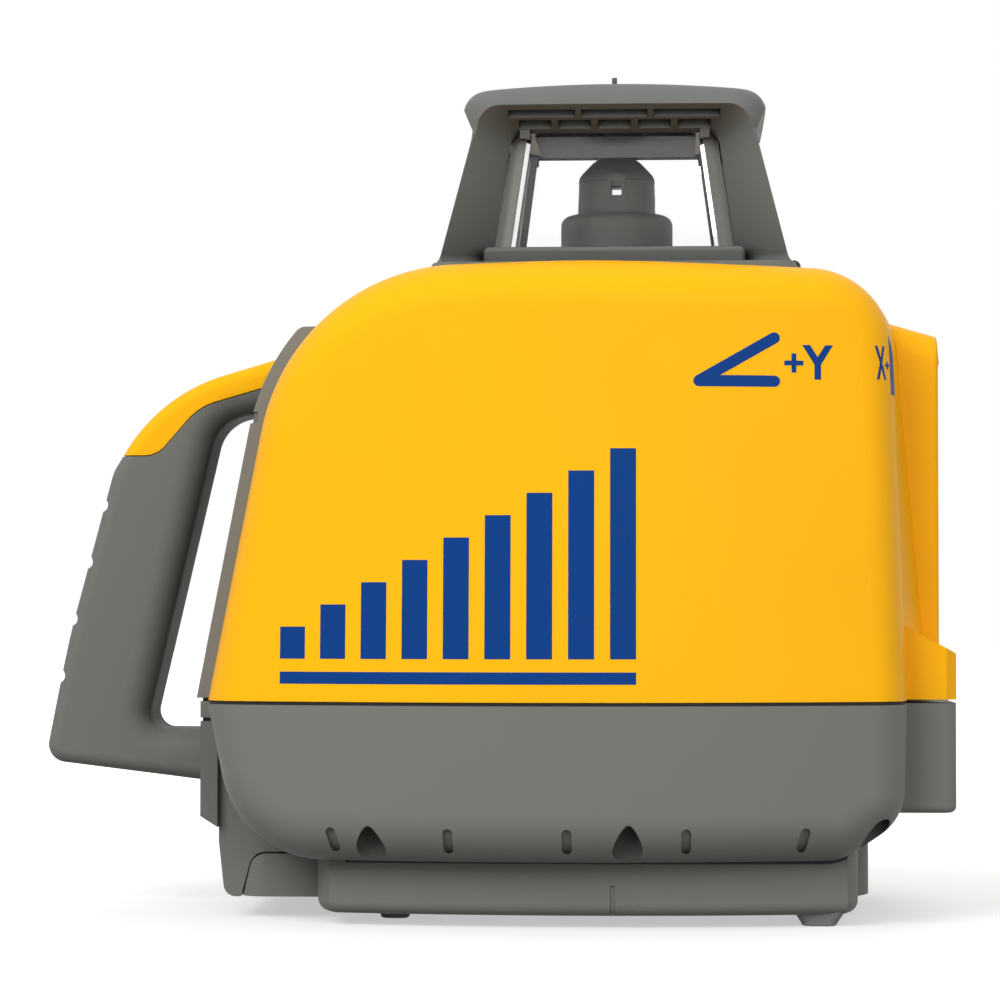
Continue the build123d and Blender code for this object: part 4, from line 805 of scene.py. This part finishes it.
class LASER_OT_front_marks(bpy.types.Operator):
    """Printed marks on the front: grade bars, the slope sign and the two axis marks."""
    bl_idname = "laser.front_marks"
    bl_label = "Front marks"

    def execute(self, context):
        ink = printed("ink_blue", settings().colours.ink)
        stroke = settings().sizes.stroke
        surface = tree_of("upper_housing")
        front = Print(surface, (0, 0, 0), (1, 0, 0), (0, 0, 1))
        left, base, rule, rise = -93 * MM, 69 * MM, 3.4 * MM, 7 * MM
        bars, pitch, width, shortest, growth = 9, 11.6 * MM, 7.2 * MM, 9 * MM, 6.2 * MM
        shapes = [bar(left, left + (bars - 1) * pitch + width, base, base + rule)]
        for i in range(bars):
            x, low = left + i * pitch, base + rise
            shapes.append(bar(x, x + width, low, low + shortest + growth * i))
        front.sheet("grade_bars", shapes, ink, "chassis")
        near, far, low, high = 24.5 * MM, 45.6 * MM, 153.6 * MM, 165.8 * MM
        slope = bent_stroke([(far, high), (near, low), (far, low)], stroke)
        front.sheet("slope_sign", [slope], ink, "chassis")
        plus_shape = plus(51.1 * MM, 158.8 * MM, 2.7 * MM, 1.36 * MM)
        letter = letter_y(57.8 * MM, 154.2 * MM, 4.36 * MM, 9.75 * MM, 1.84 * MM)
        front.sheet("y_axis_mark", [plus_shape, letter], ink, "chassis")
        corner, turn = (76.7 * MM, -77 * MM, 159.4 * MM), radians(60)
        edge = Print(surface, corner, (cos(turn), sin(turn), 0), (0, 0, 1))
        shapes = letter_x(1.6 * MM, -4.8 * MM, 1.5 * MM, 9.6 * MM, 0.9 * MM)
        shapes.append(plus(4.5 * MM, -0.6 * MM, 1.1 * MM, 0.75 * MM))
        shapes.append([(6.0 * MM, -8.8 * MM), (17 * MM, -9.2 * MM), (6.4 * MM, 8.2 * MM)])
        edge.sheet("x_axis_mark", shapes, ink, "chassis")
        return {"FINISHED"}


class LASER_OT_key_marks(bpy.types.Operator):
    """Printed signs on the seven keys, each moving with its key."""
    bl_idname = "laser.key_marks"
    bl_label = "Key signs"

    def execute(self, context):
        icon = printed("icon_white", settings().colours.icon)
        dark = printed("icon_dark", settings().colours.segment)
        stroke = settings().sizes.icon_stroke
        arrow, circle, half, apart = 2.4 * MM, 1.9 * MM, 2.4 * MM, 1.6 * MM
        quarter = tau / 4
        signs = {
            "key_up": ([polygon(0, 0, arrow, 3, quarter)], icon, "key_blue"),
            "key_down": ([polygon(0, 0, arrow, 3, -quarter)], icon, "key_blue"),
            "key_left": ([polygon(0, 0, arrow, 3, 2 * quarter)], icon, "key_blue"),
            "key_right": ([polygon(0, 0, arrow, 3, 0)], icon, "key_blue"),
            "key_enter": (ring(0, 0, circle, stroke), dark, "key_grey"),
            "key_menu": ([line(-half, rise, half, rise, stroke) for rise in (-apart, 0, apart)],
                         dark, "key_grey"),
            "key_power": (ring(0, -0.2 * MM, circle, stroke, radians(125), radians(290))
                          + [line(0, 0.4 * MM, 0, 2.6 * MM, stroke)], icon, "key_red"),
        }
        for name, (shapes, ink, slot) in signs.items():
            low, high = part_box(name)
            drawing = Print(tree_of(name), (low + high) / 2, (0, 1, 0), (0, 0, 1))
            drawing.sheet(name + "_sign", shapes, ink, name)
        return {"FINISHED"}


class LASER_OT_readout(bpy.types.Operator):
    """Dark segments of the display: two grades, their slopes and the charge."""
    bl_idname = "laser.readout"
    bl_label = "Readout"

    strokes = {"0": "abcdef", "1": "bc", "2": "abged", "5": "afgcd"}

    def digit(self, sign, x, z, wide, high, stroke):
        """Outlines of a seven-segment digit from its lower left corner."""
        half, s = high / 2, stroke / 2
        gap = 0.2 * stroke
        spots = {
            "a": bar(x + gap, x + wide - gap, z + high - stroke, z + high),
            "b": bar(x + wide - stroke, x + wide, z + half + gap, z + high - stroke - gap),
            "c": bar(x + wide - stroke, x + wide, z + stroke + gap, z + half - gap),
            "d": bar(x + gap, x + wide - gap, z, z + stroke),
            "e": bar(x, x + stroke, z + stroke + gap, z + half - gap),
            "f": bar(x, x + stroke, z + half + gap, z + high - stroke - gap),
            "g": bar(x + stroke + gap, x + wide - stroke - gap, z + half - s, z + half + s),
        }
        return [spots[name] for name in self.strokes[sign]]

    def execute(self, context):
        low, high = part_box("display_module")
        centre = (low + high) / 2
        drawing = Print(tree_of("display_module"), centre, (0, 1, 0), (0, 0, 1))
        wide, tall, stroke, pitch = 4.6 * MM, 8.4 * MM, 1.0 * MM, 6.6 * MM
        first, dot_left, dot_right, dot_high = -9.0 * MM, 1.6 * MM, 0.5 * MM, 1.1 * MM
        plus_at, plus_half, slope_tip, slope_end = -14.2 * MM, 2.2 * MM, -23.4 * MM, -17.6 * MM
        shapes = []
        for row, number in ((1.8 * MM, "0.500"), (-10.6 * MM, "1.250")):
            x = first
            for sign in number:
                if sign == ".":
                    shapes.append(bar(x - dot_left, x - dot_right, row, row + dot_high))
                    continue
                shapes += self.digit(sign, x, row, wide, tall, stroke)
                x += pitch
            shapes.append(plus(plus_at, row + tall / 2, plus_half, stroke))
            foot = row + stroke
            slope = [(slope_end, row + tall - stroke), (slope_tip, foot), (slope_end, foot)]
            shapes.append(bent_stroke(slope, stroke))
        charge, charge_wide, lowest = 18.6 * MM, 3.2 * MM, -9.6 * MM
        level, level_pitch = 1.7 * MM, 2.4 * MM
        for i in range(4):
            z = lowest + i * level_pitch
            shapes.append(bar(charge, charge + charge_wide, z, z + level))
        ink = printed("segment_ink", settings().colours.segment)
        drawing.sheet("readout", shapes, ink, "chassis")
        return {"FINISHED"}


class LASER_OT_fascia_marks(bpy.types.Operator):
    """Pale line around the display."""
    bl_idname = "laser.fascia_marks"
    bl_label = "Fascia marks"

    def execute(self, context):
        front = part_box("panel_fascia")[1].x
        window_low, window_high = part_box("display_window")
        stroke = settings().sizes.icon_stroke
        drawing = Print(tree_of("panel_fascia"), (front, 0, 0), (0, 1, 0), (0, 0, 1))
        gap = 0.9 * MM
        left, right = window_low.y - gap, window_high.y + gap
        bottom, top = window_low.z - gap, window_high.z + gap
        shapes = [bar(left - stroke, left, bottom - stroke, top + stroke),
                  bar(right, right + stroke, bottom - stroke, top + stroke),
                  bar(left, right, bottom - stroke, bottom), bar(left, right, top, top + stroke)]
        ink = printed("fascia_ink", settings().colours.icon)
        drawing.sheet("fascia_lines", shapes, ink, "chassis")
        return {"FINISHED"}


class LASER_OT_latch_marks(bpy.types.Operator):
    """Turn marks around the battery latch: a bent arrow between a locked and an open dot."""
    bl_idname = "laser.latch_marks"
    bl_label = "Latch marks"

    def execute(self, context):
        low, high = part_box("battery_latch")
        centre = Vector((0, high.y, (low.z + high.z) / 2))
        drawing = Print(tree_of("battery_door"), centre, (-1, 0, 0), (0, 0, 1))
        stroke = settings().sizes.icon_stroke
        radius, dot, arrow = 11.2 * MM, 0.9 * MM, 1.7 * MM
        start, sweep = radians(12), radians(66)
        tip = start + sweep
        head = polygon(radius * cos(tip), radius * sin(tip), arrow, 3, tip + tau / 4)
        shapes = ring(0, 0, radius, stroke, start, sweep) + [head]
        shapes.append(polygon(radius, -0.6 * MM, dot, 24))
        shapes += ring(0, radius, dot, 0.5 * MM)
        ink = printed("latch_ink", settings().colours.icon)
        drawing.sheet("latch_turn_marks", shapes, ink, "door")
        return {"FINISHED"}


class LASER_OT_threads(bpy.types.Operator):
    """Rolled threads in the tripod bush and in the side bush."""
    bl_idname = "laser.threads"
    bl_label = "Threads"

    def helix(self, name, mouth, way, radius, depth):
        """Closed helical ridge on the wall of a bore."""
        sizes = settings().sizes
        way = Vector(way)
        across = way.orthogonal().normalized()
        other = way.cross(across)
        per_turn, run_in, least = 48, 0.6, 0.05
        count = int(depth / sizes.thread_pitch * per_turn)
        half = 0.44 * sizes.thread_pitch
        root = radius + 0.3 * sizes.thread_depth
        crest = radius - sizes.thread_depth
        flat = 0.08 * sizes.thread_pitch
        profile = [(root, -half), (crest, -flat), (crest, flat), (root, half)]
        sections = []
        for i in range(count + 1):
            angle = tau * i / per_turn
            fade = max(least, min(1.0, i / per_turn * 2, (count - i) / per_turn * 2))
            spoke = across * cos(angle) + other * sin(angle)
            rise = sizes.thread_pitch * (i / per_turn + run_in)
            sections.append([mouth + spoke * (root + (out - root) * fade) + way * (rise + along)
                             for out, along in profile])
        swept(name, [sections], bpy.data.materials["turned_steel"], "chassis")

    def execute(self, context):
        radius, depth = 7.94 * MM, 14.4 * MM
        mouth = Vector((0, 0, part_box("tripod_insert")[0].z))
        self.helix("tripod_thread", mouth, (0, 0, 1), radius, depth)
        low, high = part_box("side_insert")
        mouth = Vector((high.x, 0, (low.z + high.z) / 2))
        self.helix("side_thread", mouth, (-1, 0, 0), radius, depth)
        return {"FINISHED"}


class LASER_OT_screw_sockets(bpy.types.Operator):
    """Painted shade of the hexagon sockets: dark hexagons printed on the handle's screw heads."""
    bl_idname = "laser.screw_sockets"
    bl_label = "Screw sockets"

    def execute(self, context):
        # Painted shade: a near-black print stands in for the shade inside each socket.
        shade = printed("socket_shade", settings().colours.socket_painted_shade)
        face, close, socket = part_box("cap_screws")[0].x, 0.1 * MM, 1.75 * MM
        side = Print(tree_of("cap_screws"), (face, 0, 0), (0, -1, 0), (0, 0, 1))
        shapes = []
        for low, high in islands("cap_screws"):
            if low.x < face + close:
                middle = (low + high) / 2
                shapes.append(polygon(-middle.y, middle.z, socket, 6))
        side.sheet("handle_screw_socket_shade", shapes, shade, "chassis")
        return {"FINISHED"}


class LASER_OT_stage(bpy.types.Operator):
    """Floor, world, lamps and camera."""
    bl_idname = "laser.stage"
    bl_label = "Studio"

    target = Vector((0, 0, 0.12))

    def execute(self, context):
        scene = context.scene
        scene.view_settings.view_transform = "Standard"
        self.floor(scene)
        self.world(scene)
        self.lamp(scene, "key_lamp", (-0.75, -1.35, 1.0), 1.0, 21)
        self.lamp(scene, "fill_lamp", (0.7, -1.5, 0.55), 1.2, 8.5)
        self.lamp(scene, "back_lamp", (0.3, 1.4, 1.0), 1.2, 11)
        self.camera(scene)
        return {"FINISHED"}

    def seen(self, tree):
        """Factor that is 1 for what the camera sees, straight or through metal and glass."""
        path = tree.nodes.new("ShaderNodeLightPath")
        seen = path.outputs["Is Camera Ray"]
        for name in ("Is Glossy Ray", "Is Transmission Ray"):
            either = tree.nodes.new("ShaderNodeMath")
            either.operation = "MAXIMUM"
            tree.links.new(seen, either.inputs[0])
            tree.links.new(path.outputs[name], either.inputs[1])
            seen = either.outputs[0]
        return seen

    def floor(self, scene):
        """White floor that keeps the shadow near the object and throws little light back."""
        half, under = 6.0, -0.1 * MM
        mesh = bpy.data.meshes.new("floor")
        corners = [(x, y, under) for x, y in bar(-half, half, -half, half)]
        mesh.from_pydata(corners, [], [(0, 1, 2, 3)])
        grey, shown_grey, near, far = 0.46, 0.6, 0.16, 0.5
        made = Finish("floor_white", [grey] * 3, 0.95)
        made.set(Specular_IOR_Level=0.0)
        tree = made.tree
        shown = made.node("ShaderNodeBsdfDiffuse")
        shown.inputs["Color"].default_value = (shown_grey, shown_grey, shown_grey, 1)
        glow = made.node("ShaderNodeEmission")
        away = made.node("ShaderNodeVectorMath")
        away.operation = "LENGTH"
        made.link(made.place, away.inputs[0])
        made.link(made.ramp(away.outputs["Value"], near, far, 0.5, 1.0), glow.inputs["Strength"])
        lit = made.node("ShaderNodeAddShader")
        made.link(shown.outputs["BSDF"], lit.inputs[0])
        made.link(glow.outputs["Emission"], lit.inputs[1])
        mix = made.node("ShaderNodeMixShader")
        made.link(self.seen(tree), mix.inputs["Fac"])
        made.link(made.shader.outputs["BSDF"], mix.inputs[1])
        made.link(lit.outputs["Shader"], mix.inputs[2])
        made.link(mix.outputs["Shader"], tree.nodes["Material Output"].inputs["Surface"])
        mesh.materials.append(made.material)
        piece = bpy.data.objects.new("floor", mesh)
        scene.collection.objects.link(piece)

    def world(self, scene):
        """Soft white surround, plain white where it is seen."""
        world = bpy.data.worlds.new("studio")
        scene.world = world
        world.use_nodes = True
        tree = world.node_tree
        background = tree.nodes["Background"]
        background.inputs["Color"].default_value = (1, 1, 1, 1)
        strength = tree.nodes.new("ShaderNodeMapRange")
        strength.inputs["To Min"].default_value = 0.5
        strength.inputs["To Max"].default_value = 1.0
        tree.links.new(self.seen(tree), strength.inputs["Value"])
        tree.links.new(strength.outputs["Result"], background.inputs["Strength"])

    def lamp(self, scene, name, place, size, power):
        """Soft square lamp that faces the object."""
        light = bpy.data.lights.new(name, "AREA")
        light.energy = power
        light.size = size
        lamp = bpy.data.objects.new(name, light)
        lamp.location = place
        aim = self.target - lamp.location
        lamp.rotation_euler = aim.to_track_quat("-Z", "Y").to_euler()
        lamp.visible_glossy = False
        scene.collection.objects.link(lamp)

    def camera(self, scene):
        """Camera on the front, framed as the photograph."""
        frame_px = 1000
        focal_px = 3444
        left_turn, upward = radians(3.016), radians(1.784)
        data = bpy.data.cameras.new("camera")
        data.sensor_width = 36
        data.lens = data.sensor_width * focal_px / frame_px
        data.clip_start = 0.01
        camera = bpy.data.objects.new("camera", data)
        camera.location = (19.55 * MM, -1050 * MM, 90.4 * MM)
        camera.rotation_euler = (tau / 4 + upward, 0, left_turn)
        scene.collection.objects.link(camera)
        scene.camera = camera


class LASER_PT_panel(bpy.types.Panel):
    """Sidebar list of the laser's steps, colours and sizes."""
    bl_idname = "LASER_PT_panel"
    bl_label = "Dual grade laser"
    bl_space_type = "VIEW_3D"
    bl_region_type = "UI"
    bl_category = "Laser"

    def draw(self, context):
        for step in steps:
            self.layout.operator(step.bl_idname)
        for group in (settings().colours, settings().sizes):
            for name in group.bl_rna.properties.keys():
                if name not in ("rna_type", "name"):
                    self.layout.prop(group, name)


steps = [LASER_OT_housing, LASER_OT_feet, LASER_OT_tray_details, LASER_OT_head,
         LASER_OT_lantern_corners, LASER_OT_mechanism, LASER_OT_panel, LASER_OT_battery,
         LASER_OT_front_marks, LASER_OT_key_marks, LASER_OT_readout, LASER_OT_fascia_marks,
         LASER_OT_latch_marks, LASER_OT_threads, LASER_OT_screw_sockets, LASER_OT_stage]
classes = [LaserColours, LaserSizes, LaserSettings, *steps, LASER_PT_panel]


def register():
    """Makes the classes and settings known to Blender."""
    for item in classes:
        bpy.utils.register_class(item)
    bpy.types.Scene.laser_settings = PointerProperty(type=LaserSettings)


def unregister():
    """Takes the settings and classes out again."""
    del bpy.types.Scene.laser_settings
    for item in reversed(classes):
        bpy.utils.unregister_class(item)


def main():
    """Runs every step."""
    register()
    bpy.ops.laser.housing()
    bpy.ops.laser.feet()
    bpy.ops.laser.tray_details()
    bpy.ops.laser.head()
    bpy.ops.laser.lantern_corners()
    bpy.ops.laser.mechanism()
    bpy.ops.laser.panel()
    bpy.ops.laser.battery()
    bpy.ops.laser.front_marks()
    bpy.ops.laser.key_marks()
    bpy.ops.laser.readout()
    bpy.ops.laser.fascia_marks()
    bpy.ops.laser.latch_marks()
    bpy.ops.laser.threads()
    bpy.ops.laser.screw_sockets()
    bpy.ops.laser.stage()


if __name__ == "__main__":
    main()
